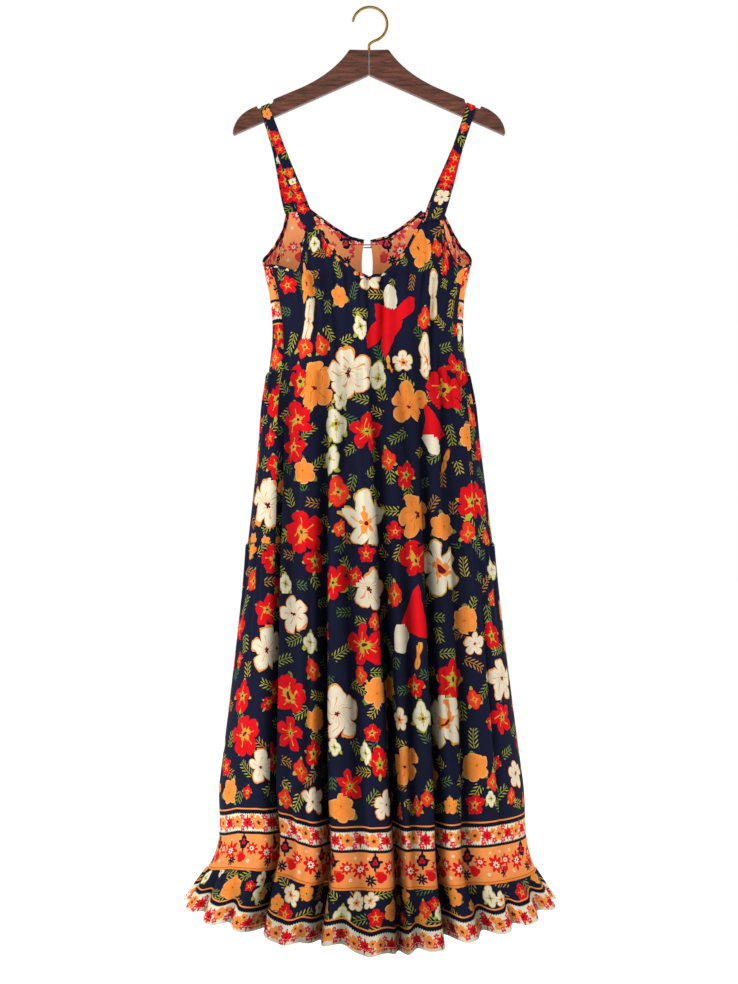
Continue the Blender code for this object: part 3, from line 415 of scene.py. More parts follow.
def row_pull(turn, z, rows, seam, end):
    """Rows of small gathers that hang from a seam and fade on the way down."""
    below = np.clip(seam - z, 0, 1)
    held = (z <= seam) * (z > end)
    pull = np.zeros(np.broadcast(turn, z).shape)
    for row in rows:
        uneven = 0.65 + 0.35 * np.sin(2 * math.pi * 11 * turn + row.count)
        start = eased(below / 0.006) * 0.7 + 0.3
        pull = pull + row.depth * uneven * start * np.exp(-below / row.fade) * np.sin(
            wandering(turn, row.count, row.drift)
        )
    return pull * held


def gather_pull(turn, z):
    """The gathers of the neck and the tier seams and the waves of the ruffle."""
    neck = eased((NECK_GATHER_REACH - np.abs(apart(turn, NECK_GATHER_MIDDLE))) / 0.03)
    pull = neck * row_pull(turn, np.minimum(z, NECK_LOWEST), NECK_ROWS, NECK_LOWEST, BODICE_SEAM)
    pull = pull + row_pull(turn, z, TIER_ROWS, BODICE_SEAM, TIER_SEAM)
    pull = pull + row_pull(turn, z, TIER_ROWS, TIER_SEAM, RUFFLE_SEAM)
    pull = pull + row_pull(turn, z, RUFFLE_ROWS, RUFFLE_SEAM, -9)
    down = np.clip((RUFFLE_SEAM - z) / (RUFFLE_SEAM - HEM), 0, 1)
    phase = wandering(turn, RUFFLE_WAVES, 0.55)
    valley = ((1 + np.sin(phase)) / 2) ** 2
    grown = RUFFLE_WAVE_AT_SEAM + (1 - RUFFLE_WAVE_AT_SEAM) * down
    wave = RUFFLE_WAVE_DEPTH * grown * (2 * valley - 1)
    return pull + wave * (z <= RUFFLE_SEAM), RUFFLE_WAVE_DIP * down * valley


def foot_lift(angle, z):
    """How far the foot of the lower tier is drawn up towards the left of the front."""
    place = -np.cos(angle)
    lift = np.interp(place, *zip(*FOOT_LIFTS))
    grown = eased((FOOT_LIFT_TOP - z) / (FOOT_LIFT_TOP - RUFFLE_SEAM))
    kept = np.clip((z - HEM) / (RUFFLE_SEAM - HEM), 0, 1)
    return lift * grown * kept * (np.sin(angle) > 0)


def cloth_point(turn, z):
    """A point of the middle of the cloth, in its column and at the height z of its section."""
    turn, z = np.broadcast_arrays(np.asarray(turn, float), np.asarray(z, float))
    angle = ring_angle(turn, z)
    x, y = ring_base(angle, z)
    step = 1e-3
    ahead_x, ahead_y = ring_base(angle + step, z)
    along_x, along_y = ahead_x - x, ahead_y - y
    length = np.hypot(along_x, along_y)
    along_x, along_y = along_x / length, along_y / length
    inward, lean = fold_pull(turn, z)
    wave, lift = gather_pull(turn, z)
    inward = inward + wave + crease_pull(turn, z)
    x = x - along_y * inward + along_x * lean
    y = y + along_x * inward + along_y * lean
    down = np.clip((RUFFLE_SEAM - z) / (RUFFLE_SEAM - HEM), 0, 1)
    return np.stack([x, y, z - down * hem_drop(angle) + lift + foot_lift(angle, z)], axis=-1)


def cloth_normal(turn, z):
    """The outward normal of the cloth there."""
    turn, z = np.broadcast_arrays(np.asarray(turn, float), np.asarray(z, float))
    dt, dz = 4e-4, 5e-4
    across = cloth_point(turn + dt, z) - cloth_point(turn - dt, z)
    up = cloth_point(turn, z + dz) - cloth_point(turn, z - dz)
    return unit(np.cross(across, up))


def column_at(side, x, z):
    """The column of the cloth that passes a place across the front or back at height z."""
    across = (x - section("middle", z)) / section("half_width", z)
    wanted = float(angle_of(side, float(np.clip(across, -1, 1))))
    turns = np.linspace(KNOT_TURNS[-1] - 1, KNOT_TURNS[0] + 1, 2001)
    angles = np.unwrap(ring_angle(turns, z))
    for whole in (-2 * math.pi, 0, 2 * math.pi):
        if angles[0] <= wanted + whole <= angles[-1]:
            return float(np.interp(wanted + whole, angles, turns)) % 1.0
    return 0.0


def rim_columns():
    """The top edge of the bodice as columns and heights, from the middle of the back by the left side."""
    front = sorted((column_at("front", x, z), z) for x, z in FRONT_EDGE)
    back = [(column_at("back", x, z), z) for x, z in BACK_EDGE]
    middle = dict(BACK_EDGE)[0.0]
    left = sorted((t - 1, z) for t, z in back if t > BACK_MIDDLE_TURN + 0.002)
    right = sorted((t, z) for t, z in back if 0.5 < t < BACK_MIDDLE_TURN - 0.002)
    around = [(BACK_MIDDLE_TURN - 1, middle), *left, *front, *right, (BACK_MIDDLE_TURN, middle)]
    return np.array([turn for turn, _ in around]), np.array([z for _, z in around])


RIM_TURNS, RIM_HEIGHTS = rim_columns()


def rim_height(turn):
    """The height at which a column of the bodice ends."""
    wrapped = (np.asarray(turn, float) + 0.25) % 1.0 - 0.25
    return np.interp(wrapped, RIM_TURNS, RIM_HEIGHTS)


def corner_columns(side, places):
    """The columns of the two ends of a strap."""
    heights = dict(FRONT_EDGE if side == "front" else BACK_EDGE)
    return [column_at(side, x, heights[x]) for x in places]


def lengths_along(points, axis):
    """How far each point of a line or a grid lies along its row or column."""
    steps = np.linalg.norm(np.diff(points, axis=axis), axis=-1)
    start = np.zeros_like(np.take(steps, [0], axis=axis))
    return np.concatenate([start, np.cumsum(steps, axis=axis)], axis=axis)


def even_run(start, end, spacing, z=None, corners=()):
    """Columns a real distance apart along the rim, or along height z, that keep to the corners."""
    fine = np.linspace(start, end, 4001)
    length = lengths_along(cloth_point(fine, rim_height(fine) if z is None else z), 0)
    stops = sorted([0.0, *[float(np.interp(c, fine, length)) for c in corners], length[-1]])
    places = [0.0]
    for low, high in zip(stops, stops[1:]):
        steps = max(1, round((high - low) / spacing))
        places += [low + (high - low) * (i + 1) / steps for i in range(steps)]
    return np.interp(places, length, fine)


def keyhole_half_width(z):
    """Half the width of the keyhole at height z, and half a seam gap below it."""
    share = (KEYHOLE_TOP - z) / KEYHOLE_LENGTH
    bend = np.clip(1 - ((share - KEYHOLE_WIDEST) / (1 - KEYHOLE_WIDEST)) ** 2, 0, 1)
    return np.maximum(KEYHOLE_HALF_WIDTH * np.sqrt(bend), SEAM_HALF)


def back_edge_turn(z, hand, extra=0.0):
    """The column of the centre back edge at height z, on the left (-1) or right (+1) of the keyhole."""
    z = np.asarray(z, float)
    x = section("middle", z) + hand * (keyhole_half_width(z) + extra)
    return np.vectorize(column_at)("back", x, z)


# The flowers of the print: petals round each, how deep the clefts go, how round the petals are, the share
# of the heart, the width to the height, the number and reach of the leaves behind, and the colours. A
# waist over 1 makes the petals pointed.
Kind = namedtuple(
    "Kind",
    ("petals", "waist", "round", "heart", "slim", "leaves", "reach", "petal", "rim", "eye", "vein", "leaf"),
)
KINDS = {
    "cream_bloom": Kind(5, 0.40, 0.42, 0.13, 0.95, 0, 0, CREAM, TANGERINE, WINE, "F0A05A", LEAF),
    "cream_star": Kind(5, 0.44, 0.40, 0.36, 0.90, 0, 0, CREAM, GOLD, TANGERINE, TANGERINE, LEAF),
    "orange_bloom": Kind(5, 0.46, 0.40, 0.12, 0.95, 0, 0, TANGERINE, "F7A958", WINE, "E9791F", LEAF),
    "peony": Kind(6, 0.74, 0.50, 0.12, 1.00, 3, 1.25, TANGERINE, "FFB066", "E9791F", "EE8526", MOSS),
    "poppy": Kind(5, 0.52, 0.45, 0.34, 1.00, 5, 1.10, RED, RED, GOLD, GOLD, MOSS),
    "red_bloom": Kind(5, 0.34, 0.60, 0.22, 0.90, 5, 1.05, RED, RED, LEAF, GOLD, MOSS),
    "tulip": Kind(5, 0.60, 0.60, 0.36, 0.78, 4, 1.15, RED, RED, LEAF, GOLD, LEAF),
    "bud": Kind(4, 0.72, 0.65, 0.36, 0.72, 3, 1.30, SCARLET, RED, GOLD, GOLD, LEAF),
    "cream_bud": Kind(4, 0.70, 0.60, 0.34, 0.74, 3, 1.25, CREAM, LEAF, LEAF, LEAF, LEAF),
    "slim_cream": Kind(2, 0.34, 0.80, 0.16, 0.40, 0, 0, CREAM, GOLD, TANGERINE, TANGERINE, LEAF),
    "small_orange": Kind(5, 0.56, 0.40, 0.30, 1.00, 3, 1.20, TANGERINE, TANGERINE, GOLD, "E9791F", MOSS),
    "bird_back": Kind(3, 2.20, 0.80, 0.0, 0.72, 0, 0, RED, RED, RED, RED, RED),
    "bird_wing": Kind(2, 2.40, 0.80, 0.0, 1.00, 0, 0, RED, RED, RED, RED, RED),
    "bird_chest": Kind(2, 0.70, 1.20, 0.0, 0.80, 0, 0, CREAM, CREAM, CREAM, CREAM, CREAM),
    "bird_tail": Kind(2, 0.26, 1.50, 0.0, 0.42, 0, 0, GOLD, SCARLET, GOLD, SCARLET, GOLD),
    "red_star": Kind(8, 0.55, 1.30, 0.42, 1.00, 0, 0, RED, RED, CREAM, RED, RED),
    "rosette": Kind(8, 0.56, 1.10, 0.42, 1.00, 0, 0, CREAM, CREAM, CRIMSON, CREAM, CREAM),
    "navy_star": Kind(8, 0.42, 1.30, 0.12, 1.00, 0, 0, NAVY, NAVY, PEACH, NAVY, NAVY),
    "crown_bud": Kind(3, 0.60, 0.60, 0.50, 0.80, 4, 1.50, NAVY, NAVY, RED, NAVY, NAVY),
    "red_heart": Kind(3, 0.74, 0.80, 0.0, 1.00, 1, 2.00, RED, RED, RED, RED, SCARLET),
    "strip_orange": Kind(5, 0.60, 0.45, 0.30, 1.00, 0, 0, TANGERINE, TANGERINE, WINE, TANGERINE, NAVY),
    "strip_red": Kind(8, 0.64, 1.00, 0.24, 1.00, 6, 1.30, RED, RED, DEEP_NAVY, RED, DEEP_NAVY),
    "strip_pink": Kind(5, 0.50, 0.60, 0.26, 1.00, 0, 0, "EE3B4C", RED, CREAM, RED, DEEP_NAVY),
    "speck": Kind(5, 0.60, 0.60, 0.30, 1.00, 0, 0, CREAM, CREAM, RED, CREAM, RED),
}

# The larger flowers as they lie on the hanging front: millimetres across from the middle
# and down from the hook, half the height in millimetres before it is drawn at this scale, and the tilt in
# degrees.
FRONT_SCALE = 1.14e-3
FRONT_FLOWERS = {
    "orange_bloom": (
        (-106, 447, 27, 10), (83, 388, 29, 35), (61, 647, 31, 0), (-86, 618, 34, 16), (78, 829, 31, 14),
        (63, 1239, 29, 10),
    ),
    "cream_bloom": (
        (-2, 441, 21, 0), (-18, 424, 15, 0), (-34, 598, 39, 12), (-172, 811, 35, 0), (8, 952, 33, -10),
        (-126, 994, 27, 20), (-162, 1049, 34, 12), (178, 1041, 18, 0), (222, 1103, 30, 0),
        (-48, 1156, 38, 8), (-172, 1243, 25, 10), (242, 1254, 20, 0), (-88, 1302, 22, 0),
        (29, 1310, 20, 0),
    ),
    "poppy": (
        (-68, 378, 15, 0), (-135, 452, 14, 0), (127, 421, 13, 0), (120, 622, 34, -10), (-122, 672, 26, 14),
        (-125, 718, 22, 0), (39, 856, 14, 0), (-111, 858, 33, 18), (0, 893, 13, 0), (76, 900, 25, 16),
        (-24, 929, 14, 0), (-163, 985, 23, 0), (-134, 1122, 28, 0), (8, 1186, 13, 0), (-207, 1192, 29, 12),
        (170, 1306, 14, 0), (-193, 1437, 8, 0), (-140, 1483, 12, 0), (12, 1489, 12, 0), (110, 1466, 9, 0),
        (252, 1446, 12, 0),
    ),
    "small_orange": (
        (-47, 399, 14, 0), (132, 1312, 13, 0), (-153, 1466, 11, 0), (-101, 1450, 11, 0), (82, 1494, 9, 0),
        (140, 1458, 12, 0),
    ),
    "red_bloom": (
        (130, 404, 22, 0), (150, 593, 25, 20), (-4, 690, 29, 0), (-8, 1044, 32, 10), (222, 1160, 24, 16),
        (-134, 1190, 24, 0), (-30, 1270, 22, 8),
    ),
    "tulip": (
        (-75, 362, 10, -20), (-150, 533, 20, 12), (-116, 610, 24, 8), (-152, 641, 27, -10),
        (-167, 705, 14, 0), (-149, 752, 21, 12), (63, 764, 19, -8), (168, 805, 29, -12), (-86, 908, 20, 0),
        (-55, 941, 27, -30), (206, 1030, 19, 14), (137, 1097, 30, -14), (73, 1113, 16, 0),
        (-211, 1130, 22, 0), (-88, 1222, 18, -8), (20, 1238, 21, 0),
    ),
    "bud": (
        (-67, 394, 10, 15), (112, 390, 13, 10), (-111, 554, 18, -10), (-80, 554, 15, 14), (91, 505, 16, 0),
        (172, 672, 16, 12), (29, 738, 16, 8), (-47, 795, 22, 12), (-45, 850, 13, -20), (164, 858, 17, 0),
        (196, 869, 12, 0), (-193, 936, 15, -10), (40, 958, 17, 0), (12, 1003, 13, 0), (-91, 1084, 16, 14),
        (-17, 1096, 14, 0), (176, 1130, 14, 10), (-112, 1247, 15, 0), (208, 1268, 14, 0),
        (236, 1290, 12, 0), (96, 1294, 12, 0), (-138, 1298, 14, 0), (76, 1312, 11, 0), (92, 1474, 12, 0),
    ),
    "cream_bud": (
        (-94, 385, 12, 0), (-14, 521, 18, 10), (14, 600, 20, -12), (-42, 641, 17, -18), (-52, 685, 25, 12),
        (-65, 738, 21, -12), (205, 923, 15, 8), (-139, 941, 14, 0), (-99, 1043, 16, 0), (82, 1164, 22, 0),
        (-60, 1212, 14, 0), (-8, 1222, 15, 0), (204, 1296, 12, 0), (-174, 1454, 16, 0), (-42, 1488, 17, 0),
        (120, 1481, 13, 0), (196, 1454, 16, 0),
    ),
    "bird_chest": (
        (39, 478, 24, 8), (99, 708, 21, 24), (60, 1028, 24, -24),
    ),
    "bird_back": (
        (34, 514, 48, -8), (105, 686, 36, 194), (73, 998, 48, 172),
    ),
    "bird_wing": (
        (56, 492, 27, 38), (16, 532, 26, 62),
    ),
    "bird_tail": (
        (36, 580, 14, 5), (122, 741, 20, -20), (80, 1056, 20, -14),
    ),
    "slim_cream": (
        (-101, 508, 38, -14), (93, 569, 34, -6), (107, 472, 36, 8),
    ),
    "cream_star": (
        (55, 577, 17, 0), (-6, 839, 41, 6), (118, 917, 40, 14), (47, 1169, 16, 0), (130, 1171, 40, -8),
        (-171, 1429, 11, 0), (-128, 1452, 15, 0), (-18, 1464, 13, 0), (5, 1463, 13, 0), (220, 1458, 12, 0),
    ),
    "peony": (
        (165, 703, 20, 0), (-112, 754, 19, 0), (124, 845, 20, 10), (158, 999, 21, 0), (14, 1124, 20, 0),
        (-84, 1168, 17, 0), (171, 1243, 20, 0), (-42, 1310, 22, 0), (-226, 1438, 16, 0),
        (-74, 1470, 13, 0), (43, 1479, 15, 0),
    ),
}

# The flowers that fill the back and what the folds hide: kind, least and most half height, and share.
FILL_COLUMNS = ("kind", "least", "most", "share")
LARGE_FILL = (
    ("cream_bloom", 24, 38, 3), ("cream_star", 26, 38, 2), ("orange_bloom", 22, 32, 3), ("poppy", 20, 32, 4),
    ("red_bloom", 20, 32, 3), ("tulip", 18, 28, 3), ("peony", 16, 22, 2), ("slim_cream", 22, 34, 1),
)
SMALL_FILL = (
    ("bud", 11, 17, 4), ("cream_bud", 11, 18, 3), ("poppy", 10, 15, 2), ("small_orange", 9, 14, 2),
    ("tulip", 11, 16, 2),
)
RUFFLE_FILL = (
    ("peony", 11, 16, 2), ("cream_bud", 12, 17, 2), ("cream_star", 10, 15, 2), ("poppy", 9, 13, 2),
    ("small_orange", 8, 12, 2), ("bud", 9, 13, 2),
)

# The flowers of the borders, once in each repeat: kind, millimetres along and up, half size and tilt.
BAND_REPEAT = 70
BAND_FLOWERS = (
    ("red_star", 10, 30, 15, 0), ("crown_bud", 33, 43, 11, 0), ("navy_star", 27, 15, 9.5, 10),
    ("red_heart", 44, 19, 8.5, 40), ("red_star", 55, 36, 10.5, 0), ("speck", 62, 14, 3.0, 0),
    ("speck", 22, 50, 2.4, 0), ("speck", 1, 49, 2.4, 20),
)
STRIP_REPEAT = 43
STRIP_FLOWERS = (
    ("strip_orange", 6, 15, 11.0, 0), ("strip_red", 26, 14, 10.0, 0), ("strip_pink", 16.5, 7, 5.5, 10),
    ("strip_orange", 37.5, 21, 6.5, 20), ("strip_pink", 37.5, 8, 6.0, 40), ("strip_pink", 16.5, 23, 5.0, 0),
)

# What the border and strip flowers carry, which keeps them in sight where the field's flowers stop.
BORDERED = 2.0
BORDER_KINDS = {flower[0] for flower in BAND_FLOWERS + STRIP_FLOWERS}

# The print of the narrow pieces, and the flowers that show on each strap: kind, how far down from the bend
# over the hanger in millimetres, below 0 on the back run, half the height and the tilt.
BINDING_FILL = (("poppy", 4, 6, 2), ("small_orange", 4, 6, 2), ("cream_bud", 4, 6, 1))
STRAP_FILL = (
    ("bud", 7, 10, 2), ("cream_bud", 7, 10, 2), ("poppy", 7, 10, 3), ("small_orange", 6, 9, 2),
    ("tulip", 7, 11, 2),
)
STRAP_FLOWERS = {
    "strap_left": (
        ("orange_bloom", 24, 9, 0), ("poppy", 64, 14, 20), ("poppy", 83, 10, -20), ("cream_bud", 142, 9, 0),
        ("bud", 128, 10, 0), ("tulip", 155, 11, 10), ("poppy", 172, 12, 10), ("poppy", 190, 9, 0),
        ("tulip", -112, 13, 0), ("poppy", -130, 17, 0), ("poppy", -150, 18, 0), ("cream_bud", -92, 9, 0),
    ),
    "strap_right": (
        ("poppy", 6, 12, 0), ("bud", 48, 9, 10), ("poppy", 100, 12, 10), ("tulip", 116, 15, 0),
        ("poppy", 134, 15, 0), ("red_bloom", 150, 13, 0), ("cream_bloom", 170, 14, 0), ("poppy", -130, 14, 0),
    ),
}

# The lines of the two borders, up from the ruffle seam and from the hem, and their scalloped edge.
SKIRT_BORDER = {"foot_line": 0.004, "band": 0.057, "low_bar": 0.061, "strip": 0.090, "line": 0.0985}
HEM_STRIP = 0.031
BORDER_LINE_WIDTH = 0.0026
TOOTH_PITCH = 0.0040
TOOTH_DEPTH = 0.0020

# The zones of cloth that carry a border: above the ruffle seam, at the hem, and the back of the bodice, with
# the foot of its band, and the rows of band flowers above that foot: their number, the first and the step.
SKIRT, HEM_EDGE, YOKE = 1, 2, 3
YOKE_FOOT = 0.118
YOKE_ROWS = 3
YOKE_FIRST_ROW = 0.004
YOKE_ROW_STEP = 0.054

# How far apart the leaves of a sprig are, and the colours of sprigs.
SPRIG_PITCH = 0.0068
SPRIG_COLOURS = (LEAF, "C9B03C", "8F9A3C", "C98A3A", "A8A83A", "5E7A3C")

# Where the camera stands, and the height of what it takes in on the plane through the hook.
CAMERA_PLACE = (0.0, -2.5, -0.793)
PICTURE_HEIGHT = 1.6138

Flower = namedtuple(
    "Flower", ("kind", "row", "place", "half", "tilt", "from_hem", "beyond"), defaults=(False, 0.0)
)

# How much more painted shade the gathers get than their depth says, and the depth at which the painted shade
# is darkest.
GATHER_SHADE = 1.6
DARKEST_DEPTH = 0.014


class Panel:
    """One cut piece of cloth: a grid of columns and heights, and where each point lies on the flat cloth."""

    def __init__(self, name, turns, heights, zone=0, hangs_down=False):
        self.name = name
        self.turns, self.heights = np.broadcast_arrays(turns, heights)
        self.points = cloth_point(self.turns, self.heights)
        self.normals = cloth_normal(self.turns, self.heights)
        self.zone = zone
        middle = self.turns.shape[1] // 2
        along = lengths_along(self.points, 1)
        self.along = along - along[:, middle : middle + 1]
        down = lengths_along(self.points, 0)
        self.from_foot = down[-1] - down
        self.up = -down if hangs_down else self.from_foot
        # Painted shade: the print is darkened where the folds, creases and gathers pull the cloth in, and this
        # stores how much.
        pull = fold_pull(self.turns, self.heights)[0] + crease_pull(self.turns, self.heights)
        pull = pull + GATHER_SHADE * np.maximum(gather_pull(self.turns, self.heights)[0], 0)
        self.hollow = np.clip(pull / DARKEST_DEPTH, 0, 1)
        self.flowers = []
        self.sprigs = []

    def area(self):
        """The area of one face of the cloth."""
        across = self.points[:-1, 1:] - self.points[:-1, :-1]
        below = self.points[1:, :-1] - self.points[:-1, :-1]
        return float(np.linalg.norm(np.cross(across, below), axis=2).sum())

    def free(self, row, place, half, gap):
        """Whether a flower there keeps clear of the others."""
        if not self.flowers:
            return True
        rows = np.array([f.row for f in self.flowers])
        places = np.array([f.place for f in self.flowers])
        sizes = np.array([f.half for f in self.flowers])
        aside = self.along[row, place] - self.along[row, places]
        above = self.up[row, place] - self.up[rows, places]
        return bool((np.hypot(aside, above) > (sizes + half) * gap).all())


def in_view(points):
    """Where points show on the plane through the hook, seen from the camera: across and down."""
    _, eye_y, eye_z = CAMERA_PLACE
    nearer = eye_y / (eye_y - points[..., 1])
    return points[..., 0] * nearer, -((points[..., 2] - eye_z) * nearer + eye_z)


def place_front_flowers(panels):
    """Puts each flower of the chart on the cloth that shows at its place."""
    cloth = [(panel, *in_view(panel.points)) for panel in panels]
    chart = [(kind, *place) for kind, places in FRONT_FLOWERS.items() for place in places]
    for kind, across, down, half, tilt in chart:
        found = None
        for panel, seen_across, seen_down in cloth:
            miss = np.hypot(seen_across - across * 1e-3, seen_down - down * 1e-3)
            for row in (0, -1):
                off = seen_down[row] - down * 1e-3
                near = np.abs(seen_across[row] - across * 1e-3) + 0.02 * (panel.points[row][:, 1] > 0)
                place = int(near.argmin())
                past = off[place] if row == 0 else -off[place]
                if near[place] < 0.005 and 0 < past < half * 1.2e-3:
                    beyond = float(off[place])
                    edge = row % len(seen_down)
                    tip = math.radians(tilt)
                    panel.flowers.append(Flower(kind, edge, place, half * FRONT_SCALE, tip, False, beyond))
            depth = np.where(miss < 0.0045, panel.points[..., 1], 9.0)
            row, place = np.unravel_index(depth.argmin(), depth.shape)
            if depth[row, place] < 9 and (found is None or depth[row, place] < found[0]):
                found = (depth[row, place], panel, row, place)
        if found is not None:
            _, panel, row, place = found
            panel.flowers.append(Flower(kind, row, place, half * FRONT_SCALE, math.radians(tilt)))


# How far apart filled flowers keep for their size, large and small, where the chart has flowers and where it
# has none, the tries at placing one, and the least height of a flower, above a border or anywhere.
CHARTED_GAPS = (1.45, 1.62)
FILLED_GAPS = (1.22, 1.22)
FILL_TRIES = 2600
ABOVE_BORDER = 0.016
ANYWHERE = -9.0


def fill_flowers(panel, kinds, gap, tries, seed, lowest=ANYWHERE):
    """Scatters flowers over the parts of a panel that are still bare."""
    rng = np.random.default_rng(seed)
    shares = column(kinds, FILL_COLUMNS, "share").astype(float)
    rows, places = panel.up.shape
    for _ in range(tries):
        kind, least, most, _ = kinds[rng.choice(len(kinds), p=shares / shares.sum())]
        half = rng.uniform(float(least), float(most)) * 1e-3
        row, place = rng.integers(rows), rng.integers(places)
        tilt = rng.uniform(-0.6, 0.6)
        if panel.up[row, place] > lowest and panel.free(row, place, half, gap):
            panel.flowers.append(Flower(kind, row, place, half, tilt))


def border_flowers(panel, repeat, flowers, foot, from_hem):
    """Repeats the flowers of a border along a panel."""
    height = panel.from_foot if from_hem else panel.up
    low, high = panel.along.min(), panel.along.max()
    for number in range(math.floor(low / repeat * 1e3), math.ceil(high / repeat * 1e3)):
        for kind, along, up, half, tilt in flowers:
            wanted_along = (number * repeat + along) * 1e-3
            row = int(np.abs(height[:, panel.up.shape[1] // 2] - foot - up * 1e-3).argmin())
            place = int(np.abs(panel.along[row] - wanted_along).argmin())
            if abs(panel.along[row, place] - wanted_along) < 0.006:
                row = int(np.abs(height[:, place] - foot - up * 1e-3).argmin())
                panel.flowers.append(Flower(kind, row, place, half * 1e-3, math.radians(tilt), from_hem))


def fill_sprigs(panel, tries, seed, lowest=ANYWHERE):
    """Scatters leafy sprigs between the flowers."""
    rng = np.random.default_rng(seed)
    rows, places = panel.up.shape
    kept = []
    for _ in range(tries):
        row, place = int(rng.integers(rows)), int(rng.integers(places))
        length = rng.uniform(0.009, 0.019)
        tilt = rng.uniform(0, 2 * math.pi)
        here = np.array([panel.along[row, place], panel.up[row, place]])
        if here[1] < lowest or not panel.free(row, place, 0.004, 0.85):
            continue
        if all(math.hypot(*(here - other[0])) > 1.3 * (length + other[1]) for other in kept):
            kept.append((here, length))
            panel.sprigs.append((row, place, length, tilt, int(rng.integers(len(SPRIG_COLOURS)))))


def srgb(code):
    """An sRGB hex colour as linear red, green, blue and a full alpha."""
    values = [int(code[i : i + 2], 16) / 255 for i in (0, 2, 4)]
    return tuple(v / 12.92 if v <= 0.04045 else ((v + 0.055) / 1.055) ** 2.4 for v in values) + (1.0,)


def seen_tilted(aside, above, tilt):
    """A place beside and above a middle, as a motif tilted there sees it."""
    return aside * np.cos(tilt) + above * np.sin(tilt), above * np.cos(tilt) - aside * np.sin(tilt)


def face_middles(values, row):
    """The middles of the faces of one row of a grid of values."""
    mean = values[row : row + 2].mean(axis=0)
    return ((mean[1:] + mean[:-1]) / 2)[:, None]


def nearest_flowers(cloth):
    """The flower that each face of the grid belongs to."""
    rows, columns = cloth.along.shape
    chosen = np.zeros((rows - 1, columns - 1), int)
    flowers = cloth.flowers
    place = np.array([f.place for f in flowers])
    base = np.array([flower_height(cloth, f) for f in flowers])
    tilt = np.array([f.tilt for f in flowers])
    half = np.array([f.half for f in flowers])
    slim = np.array([KINDS[f.kind].slim for f in flowers])
    from_hem = np.array([f.from_hem for f in flowers])
    for row in range(rows - 1):
        near = cloth.along[row : row + 2].mean(axis=0)
        height = np.where(from_hem, face_middles(cloth.from_foot, row), face_middles(cloth.up, row))
        x, y = seen_tilted(face_middles(cloth.along, row) - near[place], height - base, tilt)
        chosen[row] = ((x / (half * slim)) ** 2 + (y / half) ** 2).argmin(axis=1)
    return chosen


def nearest_sprigs(cloth):
    """The sprig that each face of the grid belongs to."""
    rows, columns = cloth.along.shape
    row0 = np.array([s[0] for s in cloth.sprigs])
    place = np.array([s[1] for s in cloth.sprigs])
    length = np.array([s[2] for s in cloth.sprigs])
    tilt = np.array([s[3] for s in cloth.sprigs])
    base = cloth.up[row0, place]
    chosen = np.zeros((rows - 1, columns - 1), int)
    for row in range(rows - 1):
        near = cloth.along[row : row + 2].mean(axis=0)
        aside = face_middles(cloth.along, row) - near[place]
        x, y = seen_tilted(aside, face_middles(cloth.up, row) - base, tilt)
        chosen[row] = np.maximum(np.abs(x) / (length + 0.004), np.abs(y) / 0.009).argmin(axis=1)
    return chosen


def flower_height(cloth, flower):
    """The height of a flower's middle on the flat cloth."""
    heights = cloth.from_foot if flower.from_hem else cloth.up
    return float(heights[flower.row, flower.place]) + flower.beyond


def add_attribute(mesh, name, kind, domain, values):
    """Stores values on a mesh for its materials to read."""
    layer = mesh.attributes.new(name, kind, domain)
    key = {"FLOAT_COLOR": "color", "FLOAT_VECTOR": "vector", "FLOAT": "value"}[kind]
    layer.data.foreach_set(key, np.ascontiguousarray(values, np.float32).reshape(-1))


